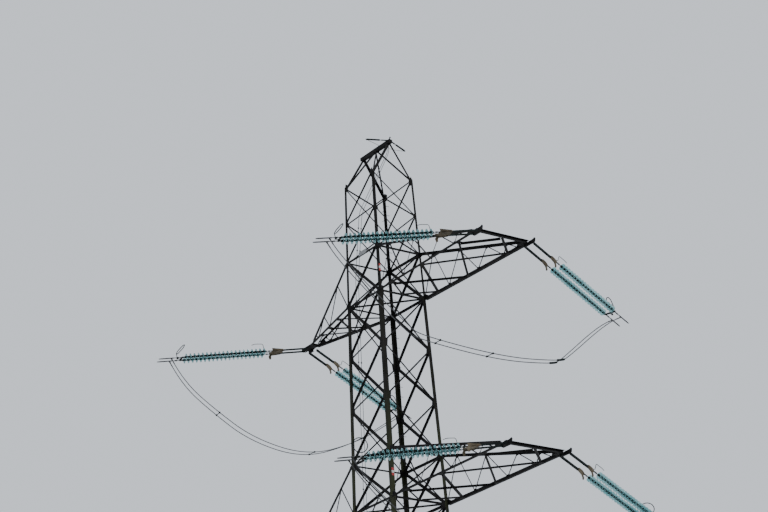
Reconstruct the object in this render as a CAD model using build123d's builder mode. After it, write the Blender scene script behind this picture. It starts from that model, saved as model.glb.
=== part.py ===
from build123d import *
from math import atan2, cos, degrees, radians, sin, tan
import os

# Lattice transmission pylon: a square steel tower on four concrete footings,
# three levels of cross-arms, square-ended on the right and pointed on the left,
# tension insulator sets on both sides of each arm and twin jumper loops under them.
# Millimetres, +Z up. The origin is the tower's axis at ground level, the arms
# run along X and the line runs along Y, bending towards -X at the tower.

os.makedirs("parts", exist_ok=True)

# Heights above the ground
MUFF_TOP = 450
PORTAL_TOP = 8000
WAIST = 16700
ARM_SPACING = 8230
ARM_DEPTH = 1880
CAGE_PANELS = 3
HEAD_MIDDLE = 36680
HEAD_TOP = 38280
RIDGE = 39810
LOWER_LEVELS = [PORTAL_TOP, 11300, 14200, WAIST]
ARM_LEVELS = [WAIST, WAIST + ARM_SPACING, WAIST + 2 * ARM_SPACING]

# Half widths of the square body
HALF_BASE = 4245
HALF_WAIST = 1462
HALF_TOP = 964

# Steel sections
LEG_THICKNESS = 14
LEG_WIDTH_LOWER = 200
LEG_WIDTH_CAGE = 150
LEG_WIDTH_HEAD = 90
BRACE = 60
BRACE_DEPTH = 55
HORIZONTAL = 75
LOWER_BRACE = 80
REDUNDANT = 50
ARM_CHORD = 110
ARM_TOP_CHORD = 88
ARM_BRACE = 50
RAFTER = 70
RIDGE_BEAM = 150
UPSTAND_WIDTH = 50
UPSTAND_HEIGHT = 150
FIT = 2
SEAT = 0.3

# Footings
MUFF_WIDTH = 950
MUFF_TAPER = 8

# Portal: how far the long braces start above the footings, and the shares of their
# height at which shorter bars tie them to the legs
PORTAL_FOOT = 160
PORTAL_TIES = (0.30, 0.64)

# Cross-arms, measured from the tower's axis: reach and half length of the end beam
SQUARE_REACH = [7280, 7990, 7280]
SQUARE_HALF_END = [1450, 1310, 1200]
POINTED_REACH = [5400, 6110, 5400]
TIP_HALF = 150
TIP_PLATE_LENGTH = 950
END_PLATE_REACH = 400
END_PLATE_HEIGHT = 230
END_PLATE_BELOW = 35
END_PLATE = 24

# Lattice of the cross-arms as shares of the way out. In a floor's route the second
# number is the side: -1 and 1 are the two upright sides, 0 is halfway between
SQUARE_ZIGZAG = {"low": [0, 0.245, 0.53, 0.77, 0.90], "high": [0.125, 0.375, 0.63, 0.81]}
SQUARE_FLOOR = [(0, 0), (0.135, 1), (0.433, -1), (0.81, 1), (1, 0)]
SQUARE_RUNGS = [0.433, 0.81]
POINTED_ZIGZAG = {"low": [0, 0.5, 0.82], "high": [0.27, 0.65, 0.88]}
POINTED_FLOOR = [(0, 1), (0.27, -1), (0.5, 1), (0.7, -1), (1, 0)]
POINTED_RUNGS = [0.27, 0.5, 0.7]

# Tension sets, measured along the set from the arm's end plate. What differs between
# the set behind the tower and the one ahead of it is a pair: back, ahead
TURN = (17, 15)
DIP = (7.6, 15)
STRING_SPACING = (350, 410)
CONDUCTOR_SPACING = (330, 400)
ATTACHED_BELOW = 70
LINK_WIDTH = 60
LINK_THICKNESS = 20
LINK_LEAD = 120
LINK_END = 1030
PLATE_END = 1430
YOKE_HEEL = 80
YOKE_EDGE = 130
STRING_START = 1700
DISC_PITCH = 170
DISC_COUNT = 20
DISC_DIAMETER = 280
DISC_SIDES = 6
YOKE_LENGTH = 300
YOKE_THICKNESS = 18
CLAMP_WIDTH = 48
CLAMP_LENGTH = 750
TERMINAL_AT = 250
TERMINAL_LENGTH = 260
TERMINAL_WIDTH = 44

# Jumper loops: share of the way across, and drop below the straight line between the ends
CORD_SIDES = 3
ARC_SHARE = 0.45
JUMPER_DIAMETER = 34
JUMPER_ROUTES = {
    "square": [
        (0.000, 0),
        (0.042, 700),
        (0.243, 2620),
        (0.280, 2830),
        (0.560, 2870),
        (0.757, 2460),
        (0.785, 2240),
        (0.940, 440),
        (1.000, 0),
    ],
    "pointed": [
        (0.000, 0),
        (0.055, 900),
        (0.170, 1710),
        (0.330, 2590),
        (0.560, 2820),
        (0.780, 1760),
        (0.935, 560),
        (1.000, 0),
    ],
}

# Earthwire clamps at the ridge, and the leads that run down from there to a footing
EARTHWIRE_DIP = 2
EARTH_LINK_BELOW = 30
EARTH_LINK_LENGTH = 260
EARTH_LINK_WIDTH = 22
EARTH_CLAMP_LENGTH = 660
EARTH_CLAMP_WIDTH = 36
LEAD_DIAMETER = 20
LEAD_BEND = 250
LEAD_SPACING = 130
LEAD_START_INSET = 180
LEAD_DROP = 330
LEAD_LANDING = (37320, 230)
LEAD_TURNS_DOWN = (34400, 560)
LEAD_AT_WAIST = 780
LEAD_AT_LEG = 110


def half_width(height):
    """Half width of the body at a height above the ground."""
    if height >= WAIST:
        return HALF_WAIST + (HALF_TOP - HALF_WAIST) * (height - WAIST) / (HEAD_TOP - WAIST)
    return HALF_BASE + (HALF_WAIST - HALF_BASE) * height / WAIST


def side_plane(turn, low, high):
    """Outer plane of the body's side that faces the given way, between two heights."""
    lean = atan2(half_width(low) - half_width(high), high - low)
    across = Vector(-sin(turn), cos(turn), 0)
    outward = Vector(cos(turn) * cos(lean), sin(turn) * cos(lean), sin(lean))
    foot = Vector(cos(turn) * half_width(low), sin(turn) * half_width(low), low)
    return Plane(origin=foot, x_dir=across, z_dir=outward)


def up_side(low, high, height):
    """Distance up a side's plane of a height above the ground."""
    lean = atan2(half_width(low) - half_width(high), high - low)
    return (height - low) / cos(lean)


def bar(start, end, width):
    """Straight bar of a flat lattice, drawn about its centre line."""
    run_x = end[0] - start[0]
    run_y = end[1] - start[1]
    with Locations(((start[0] + end[0]) / 2, (start[1] + end[1]) / 2)):
        Rectangle((run_x**2 + run_y**2) ** 0.5, width, rotation=degrees(atan2(run_y, run_x)))


def save(builder, name):
    """Label a finished piece and write it under its name."""
    builder.part.label = name
    export_step(builder.part, f"parts/{name}.step")


SIDES = {"right": 0.0, "back": radians(90), "left": radians(180), "front": radians(270)}
CORNERS = {
    "front_left": ("left", "front", -1, -1),
    "front_right": ("front", "right", 1, -1),
    "back_right": ("right", "back", 1, 1),
    "back_left": ("back", "left", -1, 1),
}
LOWER = (0, WAIST)
UPPER = (WAIST, HEAD_TOP)


# Footings
def footings():
    centre = half_width(MUFF_TOP) - LEG_WIDTH_LOWER / 2
    with BuildPart() as muffs:
        with BuildSketch():
            with Locations(*[(sx * centre, sy * centre) for _, _, sx, sy in CORNERS.values()]):
                Rectangle(MUFF_WIDTH, MUFF_WIDTH)
        extrude(amount=MUFF_TOP, taper=MUFF_TAPER)
    save(muffs, "footings")


# Legs: angle sections with their heel on the body's corner
def leg_flange(side, at_start, zone, low, high, width):
    """One flange of a leg, lying in a side's plane, next to the corner at one end of it."""
    overrun = 2 * LEG_THICKNESS
    points = []
    for height, inner in ((low - overrun, 0), (low - overrun, 1), (high + overrun, 1), (high + overrun, 0)):
        edge = edge_at(zone, height) - inner * width
        points.append((-edge if at_start else edge, up_side(*zone, height)))
    with BuildSketch(side_plane(SIDES[side], *zone)) as flange:
        Polygon(*points, align=None)
    extrude(flange.sketch, amount=-LEG_THICKNESS)


def edge_at(zone, height):
    """Half width of one straight zone of the body, also just beyond its ends."""
    low, high = zone
    share = (height - low) / (high - low)
    return half_width(low) + (half_width(high) - half_width(low)) * share


def leg(name, corner, zone, parts):
    ends_here, starts_here, _, _ = CORNERS[corner]
    with BuildPart() as piece:
        for low, high, width in parts:
            leg_flange(ends_here, False, zone, low, high, width)
            leg_flange(starts_here, True, zone, low, high, width)
        split(bisect_by=Plane.XY.offset(parts[0][0]), keep=Keep.TOP)
        split(bisect_by=Plane.XY.offset(parts[-1][1]), keep=Keep.BOTTOM)
    save(piece, name)


# Bracing of the body's sides
def side_lattice(zone, height_low, height_high, draw):
    """Outline of a side's lattice, kept clear of the neighbouring sides' bars."""
    draw()
    setback = LEG_THICKNESS + BRACE_DEPTH + FIT
    corners = []
    for height, sign in ((height_low, -1), (height_low, 1), (height_high, 1), (height_high, -1)):
        corners.append((sign * (edge_at(zone, height) - setback), up_side(*zone, height)))
    Polygon(*corners, align=None, mode=Mode.INTERSECT)


def node_at(zone, height, sign):
    """Where bars meet on a leg, a little inside the corner."""
    inset = LEG_THICKNESS + BRACE_DEPTH + BRACE / 2
    return (sign * (edge_at(zone, height) - inset), up_side(*zone, height))


def cross_panels(zone, levels, width):
    for low, high in zip(levels, levels[1:]):
        for sign in (-1, 1):
            bar(node_at(zone, low, -sign), node_at(zone, high, sign), width)


def horizontals(zone, levels, width):
    for height in levels:
        bar(node_at(zone, height, -1), node_at(zone, height, 1), width)


def upper_side(side):
    levels = [WAIST + HORIZONTAL / 2]
    cuts = [WAIST + HORIZONTAL / 2]
    for arm in ARM_LEVELS:
        if arm > WAIST:
            levels.append(arm)
            cuts.append(arm)
        levels.append(arm + ARM_DEPTH)
        cuts.append(arm + ARM_DEPTH)
        if arm < ARM_LEVELS[-1]:
            step = (ARM_SPACING - ARM_DEPTH) / CAGE_PANELS
            cuts += [arm + ARM_DEPTH + step * (count + 1) for count in range(CAGE_PANELS - 1)]
    cuts += [HEAD_MIDDLE, HEAD_TOP - BRACE / 2]

    def draw():
        cross_panels(UPPER, cuts, BRACE)
        horizontals(UPPER, levels, HORIZONTAL)

    with BuildPart() as lattice:
        with BuildSketch(side_plane(SIDES[side], *UPPER).offset(-LEG_THICKNESS)):
            side_lattice(UPPER, WAIST + FIT, HEAD_TOP, draw)
        extrude(amount=-BRACE_DEPTH)
    save(lattice, f"upper_bracing_{side}")


def lower_side(side):
    levels = LOWER_LEVELS[:-1] + [WAIST - HORIZONTAL / 2]

    def draw():
        cross_panels(LOWER, levels, LOWER_BRACE)
        horizontals(LOWER, levels, HORIZONTAL)

    with BuildPart() as lattice:
        with BuildSketch(side_plane(SIDES[side], *LOWER).offset(-LEG_THICKNESS)):
            side_lattice(LOWER, PORTAL_TOP - HORIZONTAL / 2, WAIST, draw)
        extrude(amount=-BRACE_DEPTH)
    save(lattice, f"lower_bracing_{side}")


def portal_half(side, sign):
    """Bracing between a leg and the long brace that rises to the middle of a side."""
    foot = MUFF_TOP + PORTAL_FOOT
    apex = PORTAL_TOP - HORIZONTAL / 2

    def on_brace(share):
        height = foot + (apex - foot) * share
        return (sign * edge_at(LOWER, foot) * (1 - share), up_side(*LOWER, height))

    def on_leg(share):
        return node_at(LOWER, foot + (apex - foot) * share, sign)

    def draw():
        bar(node_at(LOWER, foot, sign), (0, up_side(*LOWER, apex)), LOWER_BRACE)
        for share in PORTAL_TIES:
            bar(on_leg(share), on_brace(share), REDUNDANT)
        bar(on_leg(PORTAL_TIES[0]), on_brace(PORTAL_TIES[1]), REDUNDANT)

    with BuildSketch(side_plane(SIDES[side], *LOWER).offset(-LEG_THICKNESS)) as lattice:
        side_lattice(LOWER, MUFF_TOP + LEG_THICKNESS, apex, draw)
        with Locations((sign * (HALF_BASE + FIT / 2), PORTAL_TOP / 2)):
            Rectangle(2 * HALF_BASE, 2 * PORTAL_TOP, mode=Mode.INTERSECT)
    extrude(lattice.sketch, amount=-BRACE_DEPTH)


def portal(corner):
    ends_here, starts_here, _, _ = CORNERS[corner]
    with BuildPart() as piece:
        portal_half(ends_here, 1)
        portal_half(starts_here, -1)
    save(piece, f"portal_bracing_{corner}")


# Plan bracing inside the body, between the inner faces of its horizontals
def plan_bracing():
    depth = LEG_THICKNESS + BRACE_DEPTH
    with BuildPart() as frames:
        for height, one_way in [(LOWER_LEVELS[0], False)] + [(arm, True) for arm in ARM_LEVELS]:
            lean = (HALF_BASE - HALF_WAIST) / WAIST if height < WAIST else 0.0
            centre = height + HORIZONTAL / 2 if height == WAIST else height - depth * lean
            top = centre + BRACE / 2
            inside = half_width(top) - depth * (1 + lean**2) ** 0.5 - SEAT
            with BuildSketch(Plane.XY.offset(centre - BRACE / 2)):
                if one_way:
                    bar((-inside, -inside), (inside, inside), BRACE)
                else:
                    for sx, sy in ((1, 1), (1, -1), (-1, -1), (-1, 1)):
                        bar((0, sy * inside), (sx * inside, 0), BRACE)
                Rectangle(2 * inside, 2 * inside, mode=Mode.INTERSECT)
            extrude(amount=BRACE)
    save(frames, "plan_bracing")


# Peak
def strut(start, end, width):
    """Square bar in space between two points."""
    line = Vector(*end) - Vector(*start)
    flat = Vector(-line.Y, line.X, 0)
    side = flat if flat.length > 1 else Vector(1, 0, 0)
    with BuildSketch(Plane(origin=Vector(*start), x_dir=side, z_dir=line)) as section:
        Rectangle(width, width)
    extrude(section.sketch, amount=line.length)


def peak():
    corner = HALF_TOP - RAFTER / 2
    foot = HEAD_TOP - RAFTER
    with BuildPart() as frame:
        for sx in (-1, 1):
            for sy in (-1, 1):
                strut((sx * corner, sy * corner, foot), (sx * (HALF_TOP - RIDGE_BEAM / 2), 0, RIDGE), RAFTER)
                strut((sx * corner, sy * corner, foot), (0, 0, RIDGE), RAFTER)
        with BuildSketch(Plane.YZ.offset(-HALF_TOP)):
            with Locations((0, RIDGE - RIDGE_BEAM / 2)):
                Rectangle(RIDGE_BEAM, RIDGE_BEAM)
        extrude(amount=2 * HALF_TOP)
        split(bisect_by=Plane.XY.offset(HEAD_TOP), keep=Keep.TOP)
        split(bisect_by=Plane.XY.offset(RIDGE), keep=Keep.BOTTOM)
        with BuildSketch(Plane.XY.offset(RIDGE)):
            with Locations((HALF_TOP - UPSTAND_WIDTH / 2, 0)):
                Rectangle(UPSTAND_WIDTH, UPSTAND_WIDTH)
        extrude(amount=UPSTAND_HEIGHT)
    save(frame, "peak_frame")


# Cross-arms
def mix(start, end, share):
    """Point a share of the way from one point to another."""
    return tuple(a + (b - a) * share for a, b in zip(start, end))


def arm_side(root_low, root_high, tip, inward_sign, shares):
    """One upright side of an arm: two chords that meet at its end, and a zigzag between them."""
    run = Vector(*tip) - Vector(*root_low)
    rise = Vector(*root_high) - Vector(*root_low)
    normal = run.cross(rise)
    plane = Plane(origin=Vector(*root_low), x_dir=run, z_dir=normal)
    low_end = (run.length, 0)
    flat_root = plane.to_local_coords(Vector(*root_high))
    high_root = (flat_root.X, flat_root.Y)
    back = 4 * ARM_CHORD
    low_start = (-back, 0)
    high_start = mix(low_end, high_root, 1 + back / run.length)
    half = ARM_CHORD / 2
    with BuildSketch(plane) as truss:
        bar((low_start[0], half), (low_end[0], half), ARM_CHORD)
        bar(high_start, (low_end[0], half), ARM_TOP_CHORD)
        ups = [mix((0, half), (low_end[0], half), share) for share in shares["low"]]
        downs = [mix(high_root, (low_end[0], half), share) for share in shares["high"]]
        route = [point for pair in zip(ups, downs) for point in pair] + ups[len(downs):]
        for start, end in zip(route, route[1:]):
            bar(start, end, ARM_BRACE)
    extrude(truss.sketch, amount=inward_sign * ARM_BRACE)


def arm_corners(level, way, reach, half_end, sign):
    """Lower root, upper root and end of one upright side of an arm."""
    height = ARM_LEVELS[level]
    root = half_width(height)
    root_high = half_width(height + ARM_DEPTH)
    return (
        (way * root, sign * root, height),
        (way * root_high, sign * root_high, height + ARM_DEPTH),
        (way * reach, sign * half_end, height),
    )


def arm_sides(level, way, reach, half_end, shares, end_face):
    """Both upright sides, from the body's face to just short of the piece across the arm's end."""
    for sign in (-1, 1):
        arm_side(*arm_corners(level, way, reach, half_end, sign), way * sign, shares)
    side = "right" if way > 0 else "left"
    split(bisect_by=side_plane(SIDES[side], *UPPER), keep=Keep.TOP)
    split(bisect_by=Plane.YZ.offset(way * (end_face - SEAT)), keep=Keep.BOTTOM if way > 0 else Keep.TOP)


def inner_edge(level, way, reach, half_end):
    """Start, half width there and slope of the line that clears the inner face of an arm's side."""
    low, high, tip = arm_corners(level, way, reach, half_end, 1)
    slope = (tip[1] - low[1]) / (tip[0] - low[0])
    lean = (high[1] - low[1] - slope * (high[0] - low[0])) * ARM_BRACE / ARM_DEPTH
    return low[0], low[1] + lean - (ARM_BRACE + 2 * SEAT) * (1 + slope**2) ** 0.5, slope


def floor_lattice(level, way, reach, half_end, end, route, rungs):
    """Bars in the plane of the lower chords: a route drawn on both hands, and cross members."""
    height = ARM_LEVELS[level]
    start, half_start, slope = inner_edge(level, way, reach, half_end)

    def place(share, side):
        x = start + (way * reach - start) * share
        inset = half_start + slope * (x - start) - ARM_BRACE / 2
        return (x, side * inset)

    with BuildSketch(Plane.XY.offset(height)) as floor:
        for hand in (-1, 1):
            for (share, side), (after, next_side) in zip(route, route[1:]):
                bar(place(share, side * hand), place(after, next_side * hand), ARM_BRACE)
        for share in rungs:
            bar(place(share, -1), place(share, 1), ARM_BRACE)
        half_at_end = half_start + slope * (end - start)
        outline = [(start, -half_start), (end, -half_at_end), (end, half_at_end), (start, half_start)]
        Polygon(*outline, align=None, mode=Mode.INTERSECT)
    extrude(floor.sketch, amount=ARM_BRACE)


def square_arm(level, name):
    height = ARM_LEVELS[level]
    reach = SQUARE_REACH[level]
    half_end = SQUARE_HALF_END[level]
    beam_face = reach - ARM_CHORD
    with BuildPart() as frame:
        arm_sides(level, 1, reach, half_end, SQUARE_ZIGZAG, beam_face)
        floor_lattice(level, 1, reach, half_end, reach, SQUARE_FLOOR, SQUARE_RUNGS)
        with BuildSketch(Plane.XY.offset(height)) as end_beam:
            with Locations((reach - ARM_CHORD / 2, 0)):
                Rectangle(ARM_CHORD, 2 * half_end)
        extrude(end_beam.sketch, amount=ARM_CHORD)
        for sign in (-1, 1):
            end_plate(reach - ARM_CHORD / 2, sign * half_end, height, sign)
    save(frame, name)


def end_plate(x, y, height, sign):
    """Upright plate across an arm's end, that the sets' links bear on."""
    with BuildSketch(Plane.XZ.offset(-y)) as plate:
        with Locations((x, height - END_PLATE_BELOW)):
            Rectangle(2 * END_PLATE_REACH, END_PLATE_HEIGHT)
    extrude(plate.sketch, amount=-sign * END_PLATE)


def pointed_arm(level, name):
    height = ARM_LEVELS[level]
    reach = POINTED_REACH[level]
    root = half_width(height)
    taper_end = reach - END_PLATE_REACH
    plate_end = reach + END_PLATE_REACH
    plate_start = plate_end - TIP_PLATE_LENGTH
    with BuildPart() as frame:
        arm_sides(level, -1, taper_end, TIP_HALF, POINTED_ZIGZAG, plate_start)
        end = -plate_start - ARM_CHORD
        floor_lattice(level, -1, taper_end, TIP_HALF, end, POINTED_FLOOR, POINTED_RUNGS)
        half_start = root + (TIP_HALF - root) * (plate_start - root) / (taper_end - root)
        with BuildSketch(Plane.XY.offset(height)) as tip_plate:
            Polygon(
                (-plate_start, -half_start),
                (-plate_start, half_start),
                (-taper_end, TIP_HALF),
                (-plate_end, TIP_HALF),
                (-plate_end, -TIP_HALF),
                (-taper_end, -TIP_HALF),
                align=None,
            )
        extrude(tip_plate.sketch, amount=ARM_BRACE)
        for sign in (-1, 1):
            end_plate(-reach, sign * TIP_HALF, height, sign)
    save(frame, name)


# Tension sets
def set_plane(anchor, ahead, dip=None):
    """Local frame along the line: x runs along it, y is level and towards +X."""
    turn = radians(TURN[ahead])
    if dip is None:
        dip = DIP[ahead]
    way = 1 if ahead else -1
    flat = cos(radians(dip))
    along = Vector(-sin(turn) * flat, way * cos(turn) * flat, -sin(radians(dip)))
    across = Vector(cos(turn), way * sin(turn), 0)
    return Plane(origin=anchor, x_dir=along, z_dir=along.cross(across))


def across_line(place, distance):
    """Plane square to the line, at a distance along it."""
    return Plane(origin=place.from_local_coords(Vector(distance, 0, 0)), x_dir=place.y_dir, z_dir=place.x_dir)


def anchors(arm):
    """Points on an arm's end plates where the back and ahead sets start."""
    kind, level = arm
    height = ARM_LEVELS[level] - ATTACHED_BELOW
    if kind == "square":
        x = SQUARE_REACH[level] - ARM_CHORD / 2
        y = SQUARE_HALF_END[level] + END_PLATE
    else:
        x = -POINTED_REACH[level]
        y = TIP_HALF + END_PLATE
    return Vector(x, -y, height), Vector(x, y, height)


STRING_END = STRING_START + DISC_PITCH * DISC_COUNT
YOKE_END = STRING_END + YOKE_LENGTH


def insulator_strings(name, arm):
    with BuildPart() as strings:
        for ahead, anchor in enumerate(anchors(arm)):
            half = STRING_SPACING[ahead] / 2
            with BuildSketch(across_line(set_plane(anchor, ahead), STRING_START)):
                with Locations((-half, 0), (half, 0)):
                    RegularPolygon(DISC_DIAMETER / 2, DISC_SIDES)
            extrude(amount=DISC_PITCH * DISC_COUNT)
    save(strings, f"insulators_{name}")


def terminal_ends(arm, side):
    """Where a jumper conductor starts and ends, and which way it leaves."""
    tops = []
    for ahead, anchor in enumerate(anchors(arm)):
        place = set_plane(anchor, ahead)
        offset = side * CONDUCTOR_SPACING[ahead] / 2
        tops.append(place.from_local_coords(Vector(YOKE_END + TERMINAL_AT, offset, 0)))
    route = loop_points(arm[0], *tops)
    first = (route[1] - route[0]).normalized()
    last = (route[-2] - route[-1]).normalized()
    return tops, (first, last)


def loop_points(kind, start, end):
    across = end - start
    return [start + across * share - Vector(0, 0, drop) for share, drop in JUMPER_ROUTES[kind]]


def lengthwise(place, start, end, offsets, width, height):
    """Bars along the line, side by side."""
    with BuildSketch(place) as outline:
        for offset in offsets:
            with Locations(((start + end) / 2, offset)):
                Rectangle(end - start, width)
    extrude(outline.sketch, amount=height / 2, both=True)


def yoke(place, start, end, half_start, half_end, offset=0):
    """Flat plate between two stations of a set, as wide as asked at each."""
    with BuildSketch(place) as outline:
        Polygon(
            (start, offset - half_start),
            (end, offset - half_end),
            (end, offset + half_end),
            (start, offset + half_start),
            align=None,
        )
    extrude(outline.sketch, amount=YOKE_THICKNESS / 2, both=True)


def fittings(name, arm):
    ends = anchors(arm)
    with BuildPart() as steel:
        for ahead, anchor in enumerate(ends):
            place = set_plane(anchor, ahead)
            half = STRING_SPACING[ahead] / 2
            line_half = CONDUCTOR_SPACING[ahead] / 2
            lengthwise(place, -LINK_LEAD, STRING_START, (-half, half), LINK_THICKNESS, LINK_WIDTH)
            if ahead:
                for offset in (-half, half):
                    yoke(place, LINK_END, PLATE_END, YOKE_HEEL / 2, YOKE_EDGE / 2, offset)
            else:
                yoke(place, LINK_END, PLATE_END, half + YOKE_HEEL / 2, half + YOKE_EDGE / 2)
            yoke(place, STRING_END, YOKE_END, half + YOKE_EDGE / 2, line_half + CLAMP_WIDTH / 2)
            clamp_start, clamp_end = YOKE_END - CLAMP_WIDTH, YOKE_END + CLAMP_LENGTH
            clamps = (-line_half, line_half)
            lengthwise(place, clamp_start, clamp_end, clamps, CLAMP_WIDTH, CLAMP_WIDTH)
            for side in (-1, 1):
                tops, ways = terminal_ends(arm, side)
                with BuildSketch(Plane(origin=tops[ahead], x_dir=place.y_dir, z_dir=ways[ahead])) as end_face:
                    Rectangle(TERMINAL_WIDTH, TERMINAL_WIDTH)
                extrude(end_face.sketch, amount=TERMINAL_LENGTH)
        cut_between(ends[0].X, abs(ends[0].Y), ends[0].Z)
    save(steel, f"fittings_{name}")


def cut_between(x, half, height):
    """Trim what starts on two plates to their outer faces."""
    reach = LINK_END / 2
    with BuildSketch(Plane.XY.offset(height - reach)) as inside:
        with Locations((x, 0)):
            Rectangle(2 * reach, 2 * half)
    extrude(inside.sketch, amount=2 * reach, mode=Mode.SUBTRACT)


def corner_radii(points):
    """Radius of each arc of a cord: a share of its shorter run over the tangent of half its turn."""
    radii = []
    for before, here, after in zip(points, points[1:], points[2:]):
        run_in, run_out = here - before, after - here
        half_turn = radians(run_in.get_angle(run_out)) / 2
        radii.append(ARC_SHARE * min(run_in.length, run_out.length) / tan(half_turn))
    return radii


def jumper(name, arm, side):
    tops, ways = terminal_ends(arm, side)
    points = loop_points(arm[0], *tops)
    points[0] = tops[0] + ways[0] * TERMINAL_LENGTH
    points[-1] = tops[1] + ways[1] * TERMINAL_LENGTH
    radii = corner_radii(points)
    print(name, "radii", [round(radius) for radius in radii])
    with BuildPart() as cord:
        with BuildLine() as path:
            FilletPolyline(*points, radius=radii)
        with BuildSketch(Plane(origin=points[0], z_dir=ways[0])) as section:
            RegularPolygon(JUMPER_DIAMETER / 2, CORD_SIDES)
        sweep()
    expected = section.sketch.area * path.wire().length
    share = cord.part.volume / expected
    print(name, "length", round(path.wire().length), "volume over section times length", round(share, 4))
    save(cord, name)


# Earthwire
def earthwire_clamps():
    """Dead-end clamps on both sides of the ridge beam, at the end of the square-ended arms."""
    with BuildPart() as clamps:
        for ahead, way in enumerate((-1, 1)):
            anchor = Vector(HALF_TOP - RIDGE_BEAM / 2, way * RIDGE_BEAM / 2, RIDGE - EARTH_LINK_BELOW)
            place = set_plane(anchor, ahead, EARTHWIRE_DIP)
            lengthwise(place, -RIDGE_BEAM / 2, EARTH_LINK_LENGTH, (0,), EARTH_LINK_WIDTH, EARTH_LINK_WIDTH)
            end = EARTH_LINK_LENGTH + EARTH_CLAMP_LENGTH
            lengthwise(place, EARTH_LINK_LENGTH, end, (0,), EARTH_CLAMP_WIDTH, EARTH_CLAMP_WIDTH)
        cut_between(HALF_TOP, RIDGE_BEAM / 2, RIDGE)
    save(clamps, "earthwire_clamps")


def down_leads():
    """Two leads from the ridge to the pointed arms' side, down its bracing and along a leg."""
    depth = LEG_THICKNESS + BRACE_DEPTH + SEAT + LEAD_DIAMETER / 2
    upper = side_plane(SIDES["left"], *UPPER).offset(-depth)
    lower = side_plane(SIDES["left"], *LOWER).offset(-depth)
    with BuildPart() as leads:
        for lane in (0, 1):
            shift = lane * LEAD_SPACING
            from_corner = LEAD_AT_LEG + LEAD_SPACING - shift
            top = Vector(HALF_TOP - LEAD_START_INSET, LEAD_SPACING / 4 - shift / 2, RIDGE - RIDGE_BEAM - SEAT)
            on_upper = [
                upper.from_local_coords(Vector(across + shift, up_side(*UPPER, height), 0))
                for height, across in (LEAD_LANDING, LEAD_TURNS_DOWN)
            ]
            on_lower = [
                lower.from_local_coords(Vector(across, up_side(*LOWER, height), 0))
                for height, across in (
                    (WAIST + 2 * LEAD_DIAMETER, LEAD_AT_WAIST + shift),
                    (PORTAL_TOP, half_width(PORTAL_TOP) - from_corner),
                    (MUFF_TOP - LEAD_DIAMETER, half_width(MUFF_TOP) - from_corner),
                )
            ]
            points = [top, top - Vector(0, 0, LEAD_DROP)] + on_upper + on_lower
            with BuildLine() as path:
                FilletPolyline(*points, radius=LEAD_BEND)
            with BuildSketch(Plane(origin=top, x_dir=(0, 1, 0), z_dir=(0, 0, -1))) as section:
                RegularPolygon(LEAD_DIAMETER / 2, CORD_SIDES)
            sweep(section.sketch, path=path.wire())
        split(bisect_by=Plane.XY.offset(MUFF_TOP + SEAT), keep=Keep.TOP)
    save(leads, "down_leads")


ARMS = {
    "top_right": ("square", 2),
    "middle_right": ("square", 1),
    "bottom_right": ("square", 0),
    "top_left": ("pointed", 2),
    "middle_left": ("pointed", 1),
    "bottom_left": ("pointed", 0),
}


footings()
for corner_name in CORNERS:
    leg(f"leg_lower_{corner_name}", corner_name, LOWER, [(MUFF_TOP, WAIST, LEG_WIDTH_LOWER)])
    leg(
        f"leg_upper_{corner_name}",
        corner_name,
        UPPER,
        [(WAIST, ARM_LEVELS[-1], LEG_WIDTH_CAGE), (ARM_LEVELS[-1], HEAD_TOP, LEG_WIDTH_HEAD)],
    )
    portal(corner_name)
for side_name in SIDES:
    lower_side(side_name)
    upper_side(side_name)
plan_bracing()
peak()
earthwire_clamps()
down_leads()
for arm_name, arm_kind in ARMS.items():
    if arm_kind[0] == "square":
        square_arm(arm_kind[1], f"arm_{arm_name}")
    else:
        pointed_arm(arm_kind[1], f"arm_{arm_name}")
    insulator_strings(arm_name, arm_kind)
    fittings(arm_name, arm_kind)
    jumper(f"jumper_{arm_name}_inner", arm_kind, -1)
    jumper(f"jumper_{arm_name}_outer", arm_kind, 1)
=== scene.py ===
from math import atan2, cos, hypot, pi, radians, sin

import bmesh
import bpy
from mathutils import Matrix, Vector


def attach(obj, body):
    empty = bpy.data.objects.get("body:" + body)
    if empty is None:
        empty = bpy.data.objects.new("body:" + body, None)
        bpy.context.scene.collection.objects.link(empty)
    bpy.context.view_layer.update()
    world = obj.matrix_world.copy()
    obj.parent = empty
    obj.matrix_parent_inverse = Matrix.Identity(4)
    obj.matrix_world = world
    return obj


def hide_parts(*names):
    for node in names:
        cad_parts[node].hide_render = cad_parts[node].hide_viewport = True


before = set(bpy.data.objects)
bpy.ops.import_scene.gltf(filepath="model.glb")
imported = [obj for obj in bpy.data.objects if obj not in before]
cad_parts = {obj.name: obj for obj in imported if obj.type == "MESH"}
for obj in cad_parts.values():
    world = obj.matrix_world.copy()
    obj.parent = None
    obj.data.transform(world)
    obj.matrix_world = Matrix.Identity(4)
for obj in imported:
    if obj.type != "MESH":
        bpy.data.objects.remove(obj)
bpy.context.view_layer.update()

X, Y, Z = Vector((1, 0, 0)), Vector((0, 1, 0)), Vector((0, 0, 1))


def placed(name, data):
    made = bpy.data.objects.new(name, data)
    bpy.context.scene.collection.objects.link(made)
    return made


# Camera at the photograph's place: its right, up and back directions
CAMERA_PLACE = Vector((62.94558, -47.37536, 1.60192))
CAMERA_RIGHT = Vector((0.5789845, 0.8129431, -0.0624533))
CAMERA_UP = Vector((0.3532388, -0.1810673, 0.9178436))
CAMERA_BACK = Vector((0.7348464, -0.5534782, -0.3919983))
SENSOR = 36.0
LENS = 103.125

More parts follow.
